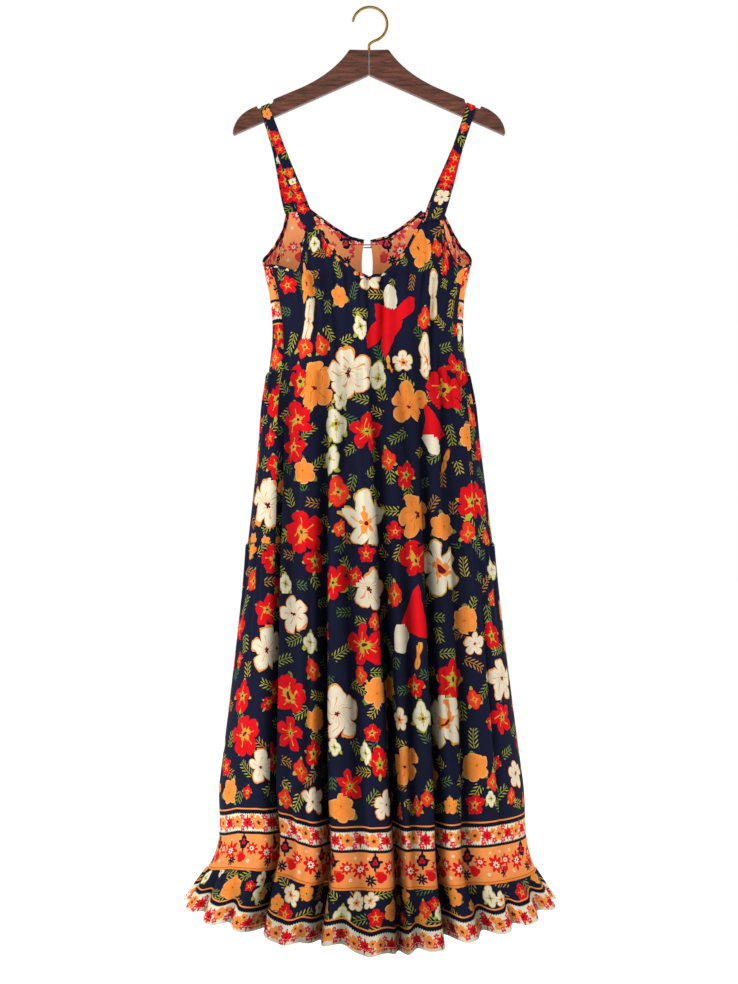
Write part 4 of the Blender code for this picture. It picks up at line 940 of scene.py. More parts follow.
def write_print(mesh, cloth, owners, corners):
    """Gives each face the colours and form of its flower and sprig, and each corner its place on them."""
    rows, places = corners[..., 0], corners[..., 1]
    along, up, foot = cloth.along[rows, places], cloth.up[rows, places], cloth.from_foot[rows, places]
    chosen = nearest_flowers(cloth)[owners[:, 0], owners[:, 1]]
    flowers = cloth.flowers
    kinds = [KINDS[f.kind] for f in flowers]

    def per_face(values):
        return np.array(values, float)[chosen]

    place = np.array([f.place for f in flowers])[chosen]
    tilt = per_face([f.tilt for f in flowers])[:, None]
    half = per_face([f.half / max(k.waist, 1.0) for f, k in zip(flowers, kinds)])[:, None]
    slim = per_face([k.slim for k in kinds])[:, None]
    from_hem = np.array([f.from_hem for f in flowers])[chosen][:, None]
    aside = along - cloth.along[rows, place[:, None]]
    above = np.where(from_hem, foot, up) - per_face([flower_height(cloth, f) for f in flowers])[:, None]
    x, y = seen_tilted(aside, above, tilt)
    bordered = per_face([BORDERED * (f.kind in BORDER_KINDS) for f in flowers])[:, None] + 0 * x
    bloom = np.stack([x / (half * slim), y / half, bordered], axis=-1)
    add_attribute(mesh, "bloom", "FLOAT_VECTOR", "CORNER", bloom)
    form = [(k.waist, k.round, k.heart) for k in kinds]
    add_attribute(mesh, "bloom_form", "FLOAT_VECTOR", "FACE", per_face(form))
    count = [(k.petals, k.leaves, k.reach) for k in kinds]
    add_attribute(mesh, "bloom_count", "FLOAT_VECTOR", "FACE", per_face(count))
    for part in ("petal", "rim", "eye", "vein", "leaf"):
        add_attribute(mesh, part, "FLOAT_COLOR", "FACE", per_face([srgb(getattr(k, part)) for k in kinds]))

    # How much painted fold shade darkens the print at each corner.
    add_attribute(mesh, "hollow", "FLOAT", "CORNER", cloth.hollow[rows, places])
    zone = 0 * along + cloth.zone
    border = foot if cloth.zone == HEM_EDGE else up
    add_attribute(mesh, "border", "FLOAT_VECTOR", "CORNER", np.stack([along, border, zone], axis=-1))

    if not cloth.sprigs:
        cloth.sprigs.append((0, 0, 1e-4, 0.0, 0))
    chosen = nearest_sprigs(cloth)[owners[:, 0], owners[:, 1]]
    place = np.array([s[1] for s in cloth.sprigs])[chosen]
    row0 = np.array([s[0] for s in cloth.sprigs])[chosen]
    tilt = per_face([s[3] for s in cloth.sprigs])[:, None]
    x, y = seen_tilted(along - cloth.along[rows, place[:, None]], up - cloth.up[row0, place][:, None], tilt)
    reach = per_face([s[2] for s in cloth.sprigs])[:, None] + 0 * x
    add_attribute(mesh, "sprig", "FLOAT_VECTOR", "CORNER", np.stack([x, y, reach], axis=-1) / SPRIG_PITCH)
    colours = per_face([srgb(SPRIG_COLOURS[s[4]]) for s in cloth.sprigs])
    add_attribute(mesh, "sprig_colour", "FLOAT_COLOR", "FACE", colours)


def made_object(name, mesh, finishes):
    """Puts a finished mesh in the scene."""
    for finish in finishes:
        mesh.materials.append(finish)
    made = bpy.data.objects.new(name, mesh)
    bpy.context.scene.collection.objects.link(made)
    return made


def plain_mesh(helper):
    """The finished mesh of a helper object, which is taken away with its modifiers."""
    bpy.context.scene.collection.objects.link(helper)
    bpy.context.view_layer.update()
    mesh = bpy.data.meshes.new_from_object(helper.evaluated_get(bpy.context.evaluated_depsgraph_get()))
    helper.modifiers.clear()
    bpy.data.objects.remove(helper)
    mesh.materials.clear()
    mesh.shade_smooth()
    return mesh


def built(name, bm, finish, sharp):
    """Makes a finished bmesh an object that is smooth but for edges sharper than so many degrees."""
    bmesh.ops.recalc_face_normals(bm, faces=bm.faces)
    mesh = bpy.data.meshes.new(name)
    bm.to_mesh(mesh)
    bm.free()
    mesh.shade_smooth()
    mesh.set_sharp_from_angle(angle=math.radians(sharp))
    return made_object(name, mesh, [finish])


def wall_faces(rows, columns):
    """The faces of a wall's outside, inside and rim as grid points, a side for each, and their grid faces."""
    r, c = (values.reshape(-1) for values in np.mgrid[0 : rows - 1, 0 : columns - 1])
    outer = np.stack([(r, c), (r + 1, c), (r + 1, c + 1), (r, c + 1)]).transpose(2, 0, 1)
    inner = outer[:, [0, 3, 2, 1]]
    rim = [(0, c) for c in range(columns)]
    rim += [(r, columns - 1) for r in range(1, rows)]
    rim += [(rows - 1, c) for c in range(columns - 2, -1, -1)]
    rim += [(r, 0) for r in range(rows - 2, 0, -1)]
    here = np.array(rim)
    there = np.array(rim[1:] + rim[:1])
    edge = np.stack([here, there, there, here], axis=1)
    corners = np.concatenate([outer, inner, edge])
    sides = np.zeros((len(corners), 4), int)
    sides[len(outer) : 2 * len(outer)] = 1
    sides[2 * len(outer) :, 2:] = 1
    owners = np.minimum(corners[:, 0], corners[:, 2])
    owners = np.minimum(owners, [rows - 2, columns - 2])
    return corners, sides, owners, len(outer)


def cloth_wall(cloth, thick, finishes, lift=0.0, level_rows=()):
    """A piece of cloth as a thin closed wall: the printed side out and the paler side in, which its material
    brightens with painted light.
    """
    normals = cloth.normals.copy()
    for row in level_rows:
        normals[row, :, 2] = 0
        normals[row] = unit(normals[row])
    outer = cloth.points + normals * (lift + thick / 2)
    inner = cloth.points + normals * (lift - thick / 2)
    rows, columns = cloth.along.shape
    corners, sides, owners, outer_count = wall_faces(rows, columns)
    index = corners[..., 0] * columns + corners[..., 1] + sides * rows * columns
    mesh = bpy.data.meshes.new(cloth.name + "_cloth")
    points = np.concatenate([outer.reshape(-1, 3), inner.reshape(-1, 3)])
    mesh.from_pydata(points.tolist(), [], index.tolist())
    write_print(mesh, cloth, owners, corners)
    mesh.polygons.foreach_set("material_index", (np.arange(len(index)) // outer_count > 0).astype(int))
    mesh.shade_smooth()
    mesh.set_sharp_from_angle(angle=math.radians(60))
    return made_object(cloth.name + "_cloth", mesh, finishes)


class Strip:
    """A folded strip of cloth swept along a path: rings of points round it, and its flat coordinates."""

    def __init__(self, name, path, widths, thick, zone=0):
        points, across, out = path
        self.name, self.zone = name, zone
        half = np.broadcast_to(np.asarray(widths) / 2, (len(points),))[:, None]
        rings = [points + across * (half * a) + out * (thick / 2 * b) for a, b in STRIP_OUTLINE]
        self.rings = np.stack(rings, axis=1)
        closed = np.concatenate([self.rings, self.rings[:, :1]], axis=1)
        along = lengths_along(closed, 1)
        self.along = along - along[:, -1:] / 2
        run = lengths_along(points, 0)
        self.up = -np.broadcast_to(run[:, None], self.along.shape)
        self.from_foot = self.up + run[-1]
        # Strips get no painted fold shade.
        self.hollow = 0 * self.along
        self.flowers, self.sprigs = [], []

    free = Panel.free


def strip_outline():
    """The round-edged outline of a folded strip, from the middle of its back round its edges."""
    found = [(0.0, -1.0), (-0.45, -1.0), (-0.80, -0.96)]
    found += [(-1 + 0.07 * (1 - math.cos(a)), -math.cos(a)) for a in (0.9, 1.4, 1.75, 2.25)]
    found += [(-0.80, 0.96), (-0.45, 1.0), (0.0, 1.0)]
    return found + [(-a, b) for a, b in found[-2:0:-1]]


STRIP_OUTLINE = strip_outline()
STRIP_MIDDLE = STRIP_OUTLINE.index((0.0, 1.0))


def strip_mesh(strip, finish):
    """The mesh of a folded strip, with its print."""
    rows, sides = strip.rings.shape[:2]
    r, c = (values.reshape(-1) for values in np.mgrid[0 : rows - 1, 0:sides])
    corners = np.stack([(r, c), (r, c + 1), (r + 1, c + 1), (r + 1, c)]).transpose(2, 0, 1)
    index = corners[..., 0] * sides + corners[..., 1] % sides
    owners = np.stack([r, c], axis=1)
    mesh = bpy.data.meshes.new(strip.name)
    ends = [list(range(sides))[::-1], [(rows - 1) * sides + s for s in range(sides)]]
    mesh.from_pydata(strip.rings.reshape(-1, 3).tolist(), [], index.tolist())
    write_print(mesh, strip, owners, corners)
    bm = bmesh.new()
    bm.from_mesh(mesh)
    bpy.data.meshes.remove(mesh)
    bm.verts.ensure_lookup_table()
    for end in ends:
        cap = bm.faces.new([bm.verts[i] for i in end])
        for loop in cap.loops:
            for name in ("bloom", "sprig"):
                loop[bm.loops.layers.float_vector[name]] = (9, 9, 0)
    return built(strip.name + "_strip", bm, finish, 50)


def add(tree, kind, inputs=(), output=0, **settings):
    """Adds a node, applies its settings, links or sets its inputs in order, and returns one output.

    A kind in capitals is an operation of the math node. A kind without Node in it is a shader node.
    """
    if kind.isupper():
        kind, settings = "Math", {"operation": kind}
    node = tree.nodes.new(kind if "Node" in kind else "ShaderNode" + kind)
    for name, value in settings.items():
        setattr(node, name, value)
    fill_inputs(tree, node, inputs if isinstance(inputs, dict) else dict(enumerate(inputs)))
    return node.outputs[output]


def fill_inputs(tree, node, inputs):
    """Links or sets inputs of a node."""
    for key, value in inputs.items():
        if isinstance(value, bpy.types.NodeSocket):
            tree.links.new(value, node.inputs[key])
        else:
            node.inputs[key].default_value = value


def new_material(name):
    """An empty material, its tree, and the place of each point on the object."""
    made = bpy.data.materials.new(name)
    made.use_nodes = True
    return made, made.node_tree, add(made.node_tree, "TexCoord", output="Object")


def surfaced(made, inputs, strength=0.0, distance=0.0, relief=None):
    """Gives a material's shader its inputs, and a relief where it has one."""
    tree = made.node_tree
    if relief is not None:
        inputs["Normal"] = add(tree, "Bump", {"Strength": strength, "Distance": distance, "Height": relief})
    fill_inputs(tree, tree.nodes["Principled BSDF"], inputs)
    return made


def stored(tree, name):
    """The three parts of a vector that the mesh carries."""
    vector = add(tree, "Attribute", output="Vector", attribute_name=name)
    return add(tree, "SeparateXYZ", (vector,)).node.outputs[:3]


def mixed(tree, factor, under, over):
    """One colour laid over another where the factor is 1."""
    inputs = {"Factor": factor, 6: under, 7: over}
    return add(tree, "Mix", inputs, output=2, data_type="RGBA", clamp_factor=True)


def border_colour(tree, along, height, zone):
    """The colours of the two borders and of the field above them, and where the field is."""
    hem = add(tree, "COMPARE", (zone, HEM_EDGE, 0.1))
    yoke = add(tree, "COMPARE", (zone, YOKE, 0.1))
    plain = add(tree, "LESS_THAN", (zone, 0.5))
    shift = SKIRT_BORDER["strip"] - HEM_STRIP
    skirt_height = add(tree, "MULTIPLY_ADD", (hem, shift, height))
    hem_edge = add(tree, "MULTIPLY", (hem, SKIRT_BORDER["low_bar"] + 0.0024))
    skirt_height = add(tree, "MAXIMUM", (skirt_height, hem_edge))
    yoke_height = add(tree, "SUBTRACT", (SKIRT_BORDER["band"] + YOKE_FOOT, height))
    yoke_height = add(tree, "MAXIMUM", (yoke_height, 0.020))
    apart_by = add(tree, "SUBTRACT", (yoke_height, skirt_height))
    level = add(tree, "MULTIPLY_ADD", (apart_by, yoke, skirt_height))
    level = add(tree, "ADD", (level, plain))
    middle = (SKIRT_BORDER["low_bar"] + SKIRT_BORDER["strip"]) / 2
    reach = (SKIRT_BORDER["strip"] - SKIRT_BORDER["low_bar"]) / 2 + TOOTH_DEPTH
    tooth = add(tree, "PINGPONG", (along, TOOTH_PITCH / 2))
    tooth = add(tree, "MULTIPLY", (tooth, TOOTH_DEPTH * 2 / TOOTH_PITCH))
    off = add(tree, "SUBTRACT", (level, middle))
    near = add(tree, "COMPARE", (off, 0.0, reach))
    push = add(tree, "SIGN", (off,))
    push = add(tree, "MULTIPLY", (push, near))
    cut = add(tree, "MULTIPLY_ADD", (tooth, push, level))
    whole = SKIRT_BORDER["line"]
    share = add(tree, "DIVIDE", (cut, whole * 1.25))
    ramp_colour = add(tree, "ValToRGB", (share,))
    ramp = ramp_colour.node.color_ramp
    ramp.interpolation = "CONSTANT"
    ramp.elements[0].color = srgb("F7923F")
    ramp.elements[1].color = srgb(NAVY)
    for place, code in (
        (SKIRT_BORDER["foot_line"] - 0.0014, "E0671C"),
        (SKIRT_BORDER["foot_line"], PEACH),
        (SKIRT_BORDER["band"], DEEP_NAVY),
        (SKIRT_BORDER["low_bar"], CREAM),
        (SKIRT_BORDER["strip"], DEEP_NAVY),
        (SKIRT_BORDER["line"] - BORDER_LINE_WIDTH, TANGERINE),
        (SKIRT_BORDER["line"], NAVY),
    ):
        ramp.elements.new(place / (whole * 1.25)).color = srgb(code)
    field = add(tree, "GREATER_THAN", (level, whole))
    return ramp_colour, field


def sprig_cover(tree):
    """Where the paired leaves and the stem of a sprig lie."""
    along, across, reach = stored(tree, "sprig")
    bend = add(tree, "MULTIPLY", (along, along))
    across = add(tree, "MULTIPLY_ADD", (bend, 0.035, across))
    side = add(tree, "ABSOLUTE", (across,))
    slanted = add(tree, "MULTIPLY_ADD", (side, -1.05, along))
    saw = add(tree, "FRACT", (slanted,))
    off = add(tree, "SUBTRACT", (saw, 0.5))
    off = add(tree, "ABSOLUTE", (off,))
    swell = add(tree, "MULTIPLY", (side, 2.75))
    swell = add(tree, "SUBTRACT", (swell, 0.35))
    swell = add(tree, "SINE", (swell,))
    width = add(tree, "MULTIPLY", (swell, 0.21))
    leaf = add(tree, "GREATER_THAN", (width, off))
    inside = add(tree, "LESS_THAN", (side, 1.18))
    leaf = add(tree, "MULTIPLY", (leaf, inside))
    stem = add(tree, "LESS_THAN", (side, 0.085))
    cover = add(tree, "MAXIMUM", (leaf, stem))
    length = add(tree, "ABSOLUTE", (along,))
    short = add(tree, "LESS_THAN", (length, reach))
    return add(tree, "MULTIPLY", (cover, short))


def flower_layers(tree, ground, field, grain):
    """Lays each flower over the ground: its leaves, petals, veins, rim, heart and dark middle."""
    place = add(tree, "Attribute", output="Vector", attribute_name="bloom")
    kind = add(tree, "SeparateXYZ", (place,), output=2)
    spot = add(tree, "TexCoord", output="Object")
    drift = add(tree, "TexNoise", {"Vector": spot, "Scale": 42.0, "Detail": 0.5}, output="Color")
    drift = add(tree, "VectorMath", (drift, (0.5, 0.5, 0.5)), operation="SUBTRACT")
    drawn = add(tree, "VectorMath", (drift, (0.70, 0.70, 0.0), place), operation="MULTIPLY_ADD")
    x, y = add(tree, "SeparateXYZ", (drawn,)).node.outputs[:2]
    waist, round_by, heart = stored(tree, "bloom_form")
    petals, leaves, reach = stored(tree, "bloom_count")
    colours = {
        part: add(tree, "Attribute", output="Color", attribute_name=part)
        for part in ("petal", "rim", "eye", "vein", "leaf")
    }
    squares = add(tree, "MULTIPLY", (x, x))
    squares = add(tree, "MULTIPLY_ADD", (y, y, squares))
    radius = add(tree, "SQRT", (squares,))
    uneven = add(tree, "MULTIPLY_ADD", (grain, 0.12, 0.94))
    radius = add(tree, "MULTIPLY", (radius, uneven))
    angle = add(tree, "ARCTAN2", (x, y))

    def waves(number, share):
        turned_by = add(tree, "MULTIPLY", (angle, number))
        turned_by = add(tree, "MULTIPLY", (turned_by, share))
        wave = add(tree, "COSINE", (turned_by,))
        return add(tree, "ABSOLUTE", (wave,))

    wave = waves(petals, 0.5)
    lobe = add(tree, "POWER", (wave, round_by))
    rise = add(tree, "SUBTRACT", (1.0, waist))
    outline = add(tree, "MULTIPLY_ADD", (lobe, rise, waist))
    inside = add(tree, "SUBTRACT", (outline, radius))
    petal = add(tree, "GREATER_THAN", (inside, 0.0))
    rim = add(tree, "LESS_THAN", (inside, 0.085))
    rim = add(tree, "MULTIPLY", (rim, petal))
    fine = waves(petals, 1.5)
    vein = add(tree, "GREATER_THAN", (fine, 0.93))
    vein_reach = add(tree, "MULTIPLY", (wave, 0.62))
    near = add(tree, "GREATER_THAN", (vein_reach, radius))
    vein = add(tree, "MULTIPLY", (vein, near))
    star = add(tree, "MULTIPLY_ADD", (wave, 0.55, 0.45))
    star = add(tree, "MULTIPLY", (star, heart))
    eye = add(tree, "GREATER_THAN", (star, radius))
    dot_size = add(tree, "MULTIPLY", (heart, 0.30))
    dot = add(tree, "GREATER_THAN", (dot_size, radius))
    leaf_wave = waves(leaves, 0.5)
    leaf_wave = add(tree, "POWER", (leaf_wave, 5.0))
    leaf_wave = add(tree, "MULTIPLY", (leaf_wave, reach))
    leaf = add(tree, "GREATER_THAN", (leaf_wave, radius))
    has_leaf = add(tree, "GREATER_THAN", (leaves, 0.5))
    leaf = add(tree, "MULTIPLY", (leaf, has_leaf))
    bordered = add(tree, "GREATER_THAN", (kind, 1.5))
    shown = add(tree, "MAXIMUM", (bordered, field))

    colour = ground
    for cover, part in ((leaf, "leaf"), (petal, "petal"), (vein, "vein"), (rim, "rim"), (eye, "eye")):
        if part in ("vein", "rim", "eye"):
            cover = add(tree, "MULTIPLY", (cover, petal))
        cover = add(tree, "MULTIPLY", (cover, shown))
        colour = mixed(tree, cover, colour, colours[part])
    dot = add(tree, "MULTIPLY", (dot, shown))
    return mixed(tree, dot, colour, srgb(WINE))


# How dull the viscose is, and how much painted shade darkens the print in the deepest fold.
FOLD_SHADE = -0.68
CLOTH_SHADE = {"Roughness": 0.80, "Specular IOR Level": 0.08}


def printed_viscose(name, reverse=False):
    """Plain-woven viscose with a printed face: soft, faintly crinkled, barely shiny, with painted shade
    darkening the print in its folds; the reverse is paler and brightened with painted light.
    """
    made, tree, spot = new_material(name)
    grain = add(tree, "TexNoise", {"Vector": spot, "Scale": 190.0, "Detail": 2.0})
    ground, field = border_colour(tree, *stored(tree, "border"))
    sprig = add(tree, "MULTIPLY", (sprig_cover(tree), field))
    leafy = add(tree, "Attribute", output="Color", attribute_name="sprig_colour")
    ground = mixed(tree, sprig, ground, leafy)
    colour = flower_layers(tree, ground, field, grain)
    cloudy = add(tree, "TexNoise", {"Vector": spot, "Scale": 60.0, "Detail": 3.0})
    # Random cloudy tone. The reverse is set brighter than the face: painted light that lifts the shade inside
    # the dress, over its paler look.
    bright = add(tree, "MULTIPLY_ADD", (cloudy, 0.22, 1.10 if reverse else 0.89))
    # Painted shade: the print is darkened by the fold depth that the mesh carries.
    hollow = add(tree, "Attribute", output="Fac", attribute_name="hollow")
    bright = add(tree, "MULTIPLY_ADD", (hollow, FOLD_SHADE, bright))
    inputs = {"Saturation": 0.94 if reverse else 1.0, "Value": bright, "Color": colour}
    colour = add(tree, "HueSaturation", inputs)
    stretched = add(tree, "Mapping", {"Vector": spot, "Scale": (1.0, 1.0, 0.16)})
    crinkle = add(tree, "TexNoise", {"Vector": stretched, "Scale": 230.0, "Detail": 3.0})
    weave = add(tree, "TexNoise", {"Vector": spot, "Scale": 900.0, "Detail": 1.0})
    relief = add(tree, "MULTIPLY_ADD", (weave, 0.25, crinkle))
    return surfaced(made, {"Base Color": colour, **CLOTH_SHADE}, 0.35, 0.0006, relief)


def stained_beech(name):
    """Beech stained walnut brown under satin lacquer: long fine grain and short dark flecks on each arm."""
    made, tree, spot = new_material(name)
    x, y, z = add(tree, "SeparateXYZ", (spot,)).node.outputs[:3]
    outward = add(tree, "ABSOLUTE", (x,))
    folded = add(tree, "CombineXYZ", (outward, y, z))
    turned_by = (0.0, -math.atan(HANGER_ARM_SLOPE), 0.0)
    laid = add(tree, "Mapping", {"Vector": folded, "Rotation": turned_by, "Scale": (1.0, 9.0, 9.0)})
    grain = add(tree, "TexNoise", {"Vector": laid, "Scale": 26.0, "Detail": 6.0, "Distortion": 0.4})
    fleck = add(tree, "TexNoise", {"Vector": laid, "Scale": 150.0, "Detail": 2.0})
    ramp = add(tree, "ValToRGB", (grain,))
    low, high = ramp.node.color_ramp.elements
    low.position, low.color = 0.34, srgb("41221A")
    high.position, high.color = 0.68, srgb("7C4530")
    dark = add(tree, "GREATER_THAN", (fleck, 0.60))
    dark = add(tree, "MULTIPLY", (dark, 0.35))
    colour = mixed(tree, dark, ramp, srgb("2E1712"))
    rough = add(tree, "MULTIPLY_ADD", (grain, 0.20, 0.30))
    return surfaced(made, {"Base Color": colour, "Roughness": rough}, 0.25, 0.0004, grain)


def antique_brass(name):
    """Brass-plated steel wire, drawn and then darkened: warm, softly shiny, with finer rubbed patches."""
    made, tree, spot = new_material(name)
    worn = add(tree, "TexNoise", {"Vector": spot, "Scale": 90.0, "Detail": 4.0})
    ramp = add(tree, "ValToRGB", (worn,))
    low, high = ramp.node.color_ramp.elements
    low.position, low.color = 0.35, srgb("8A6A30")
    high.position, high.color = 0.70, srgb("C09A52")
    rough = add(tree, "MULTIPLY_ADD", (worn, 0.20, 0.22))
    drawn = add(tree, "TexNoise", {"Vector": spot, "Scale": 700.0, "Detail": 1.0})
    return surfaced(made, {"Base Color": ramp, "Metallic": 1.0, "Roughness": rough}, 0.12, 0.0002, drawn)


def spun_thread(name, code, rough):
    """Spun polyester thread, dyed cord or a small dyed button: matt, and a little uneven in its colour."""
    made, tree, spot = new_material(name)
    uneven = add(tree, "TexNoise", {"Vector": spot, "Scale": 800.0, "Detail": 2.0})
    bright = add(tree, "MULTIPLY_ADD", (uneven, 0.5, 0.75))
    colour = add(tree, "HueSaturation", {"Value": bright, "Color": srgb(code)})
    return surfaced(made, {"Base Color": colour, "Roughness": rough}, 0.3, 0.0002, uneven)


def studio_white(name):
    """Matt paper sweep: pale, even and without gloss, with the faintest mottling."""
    made, tree, spot = new_material(name)
    mottle = add(tree, "TexNoise", {"Vector": spot, "Scale": 3.0, "Detail": 2.0})
    colour = mixed(tree, mottle, srgb("F7F7F7"), srgb("FBFBFB"))
    glow = {"Emission Color": srgb("FFFFFF"), "Emission Strength": 0.44}
    return surfaced(made, {"Base Color": colour, "Roughness": 0.95, "Specular IOR Level": 0.0, **glow})


# How many rows of points each piece of cloth has from top to foot.
BODICE_ROWS, MIDDLE_ROWS, LOWER_ROWS, RUFFLE_ROWS_DOWN = 62, 70, 116, 22


def front_rim(spacing):
    """The columns of the front's top edge, between its side seams."""
    corners = corner_columns("front", (*FRONT_STRAP_LEFT, *FRONT_STRAP_RIGHT))
    return even_run(LEFT_SEAM_TURN + SEAM_TURN, RIGHT_SEAM_TURN - SEAM_TURN, spacing, corners=corners)


def back_rim(hand, spacing):
    """The columns of the top edge of half the back, from low to high; the left half begins at -0.25."""
    corners = corner_columns("back", BACK_STRAP_LEFT if hand < 0 else BACK_STRAP_RIGHT)
    middle = float(back_edge_turn(np.array(KEYHOLE_TOP), hand))
    if hand < 0:
        return even_run(middle - 1, LEFT_SEAM_TURN - SEAM_TURN, spacing, corners=[c - 1 for c in corners])
    return even_run(RIGHT_SEAM_TURN + SEAM_TURN, middle, spacing, corners=corners)


def bodice_panels(spacing):
    """The front of the bodice and the halves of its back."""
    shares = np.linspace(0, 1, BODICE_ROWS)[:, None]
    panels = []
    for name, hand in (("bodice_front", 0), ("bodice_back_left", -1), ("bodice_back_right", 1)):
        top = back_rim(hand, spacing) if hand else front_rim(spacing)
        low = np.linspace(top[0], top[-1], len(top))
        tops = rim_height(top)
        turns = top + (low - top) * shares
        heights = tops + (BODICE_SEAM + SEAM_HALF - tops) * shares
        if hand < 0:
            first = back_edge_turn(heights[:, :1], hand) - 1
            share = (top[-1] - turns) / (top[-1] - turns[:, :1])
            turns = top[-1] + (first - top[-1]) * share
        elif hand > 0:
            last = back_edge_turn(heights[:, -1:], hand)
            share = (turns - top[0]) / (turns[:, -1:] - top[0])
            turns = top[0] + (last - top[0]) * share
        panels.append(Panel(name, turns, heights, YOKE if hand else 0))
    return panels


def tier_panels(name, top, low, rows, spacing, zone):
    """The front and back of a tier or of the hem ruffle, which has no seam at its foot."""
    panels = []
    ruffle = zone == HEM_EDGE
    heights = np.linspace(top - SEAM_HALF, low if ruffle else low + SEAM_HALF, rows)[:, None]
    level = low + (0.5 if ruffle else 0.3) * (top - low)
    sides = (("front", LEFT_SEAM_TURN, RIGHT_SEAM_TURN), ("back", RIGHT_SEAM_TURN, LEFT_SEAM_TURN + 1))
    for side, start, end in sides:
        turns = even_run(start + SEAM_TURN, end - SEAM_TURN, spacing, z=level)
        panels.append(Panel(f"{name}_{side}", turns[None, :], heights, zone, hangs_down=ruffle))
    return panels


def edge_path(turns):
    """The path of a binding that stands on the cloth's edge: its middle, and the ways across it and out."""
    tops = rim_height(turns)
    edge, out = cloth_point(turns, tops), cloth_normal(turns, tops)
    steps = unit(np.diff(edge, axis=0))
    along = unit(np.concatenate([steps[:1], steps[1:] + steps[:-1], steps[-1:]]))
    across = unit(np.cross(out, along))
    across *= np.sign(across[:, 2].mean())
    out = unit(np.cross(along, across)) * np.sign((out * np.cross(along, across)).sum(axis=1, keepdims=True))
    middle = edge + across * (BINDING_WIDTH / 2 - BINDING_LAP)
    return middle, across, out


def binding_runs():
    """The bound edges: name, first and last column."""
    left = corner_columns("front", FRONT_STRAP_LEFT)
    right = corner_columns("front", FRONT_STRAP_RIGHT)
    back_left = [c - 1 for c in corner_columns("back", BACK_STRAP_LEFT)]
    back_right = corner_columns("back", BACK_STRAP_RIGHT)
    keyhole_left = float(back_edge_turn(np.array(KEYHOLE_TOP), -1)) - 1
    keyhole_right = float(back_edge_turn(np.array(KEYHOLE_TOP), 1))
    yield "neck_binding_front", left[1], right[0]
    yield "neck_binding_back_left", keyhole_left, back_left[1]
    yield "neck_binding_back_right", back_right[0], keyhole_right
    yield "armhole_binding_left", back_left[0], left[0]
    yield "armhole_binding_right", right[1], back_right[1]


def binding_strip(name, start, end):
    """One binding, between the ends of the straps or the keyhole."""
    fine = even_run(start, end, 0.002)
    inset = BINDING_INSET / (0.002 * (len(fine) - 1))
    first, last = np.interp((inset, 1 - inset), np.linspace(0, 1, len(fine)), fine)
    return Strip(name, edge_path(even_run(first, last, 0.003)), BINDING_WIDTH, BINDING_THICK)


def arm_height(x):
    """The top of the hanger's straight arm at x from its middle."""
    start, height = HANGER_ARM_START
    return height - HANGER_ARM_SLOPE * (abs(x) - start)


def strap_end(side, hand, corners):
    """A strap's end on the bodice: its middle, the way across it, the way out of the cloth, and its width."""
    ends = corner_columns(side, corners)
    turns = np.array([ends[0], (ends[0] + ends[1]) / 2, ends[1]])
    tops = rim_height(turns)
    edge, out = cloth_point(turns, tops), cloth_normal(turns, tops)
    across = unit(edge[2] - edge[0])
    wide = np.linalg.norm(edge[2] - edge[0]) + STRAP_OVER_ARMHOLE
    return edge[1] + across * (hand * STRAP_OVER_ARMHOLE / 2), across, out[1], wide


def strap_run(end, top, arm, shares):
    """A straight run of strap, from its end on the bodice to where it bends over the hanger."""
    foot, foot_across, foot_out, wide = end
    start = foot - np.array([0, 0, STRAP_LAP]) + foot_out * STRAP_THICK * 0.6
    rows = []
    for s in shares:
        across = foot_across + (arm - foot_across) * eased(s * 1.6)
        out = foot_out + (top[1] - foot_out) * eased(s * 1.3)
        width = wide + (STRAP_WIDTH - wide) * eased(s * 1.4)
        ripple = 0.0006 * math.sin(17 * s) * math.sin(math.pi * s)
        rows.append((start + (top[0] - start) * s + out * ripple, across, out, width))
    return rows


def strap_strip(name, hand, front_corners, back_corners):
    """A flat strap from the front of the bodice, over the hanger in its notch, down to the back."""
    x = STRAP_PLACES[0] if hand < 0 else STRAP_PLACES[1]
    rest = arm_height(x) - NOTCH_DEPTH + STRAP_GAP + STRAP_THICK / 2
    over = np.array([x, -abs(x) * math.tan(HANGER_SWEEP), rest])
    reach = HANGER_THICK / 2 + STRAP_GAP + STRAP_THICK / 2
    arm = unit(np.array([1.0, -hand * math.tan(HANGER_SWEEP), -hand * HANGER_ARM_SLOPE]))
    bend = []
    for i in range(13):
        angle = math.pi * i / 12
        flat, up = -math.cos(angle), math.sin(angle)
        squared = abs(flat) ** 0.5 * math.copysign(1, flat)
        point = over + np.array([0.0, squared * reach, (up**0.5 - 1) * STRAP_BEND_DROP])
        bend.append((point, arm, np.array([0.0, flat, up]), STRAP_WIDTH))
    shares = np.linspace(0, 1, 46)[:-1]
    front = strap_run(strap_end("front", hand, front_corners), (bend[0][0], bend[0][2]), arm, shares)
    back = strap_run(strap_end("back", hand, back_corners), (bend[-1][0], bend[-1][2]), arm, shares[::-1])
    points, across, out, widths = (np.array(values) for values in zip(*front, *bend, *back))
    across, out = unit(across), unit(out)
    out = unit(out - across * (out * across).sum(axis=1, keepdims=True))
    return Strip(name, (points, across, out), widths, STRAP_THICK)


def curve_points(start, bend, end, count):
    """Points of the curve that leaves start and reaches end by way of bend."""
    return [
        tuple((1 - s) ** 2 * a + 2 * s * (1 - s) * b + s * s * c for a, b, c in zip(start, bend, end))
        for s in (i / count for i in range(count + 1))
    ]


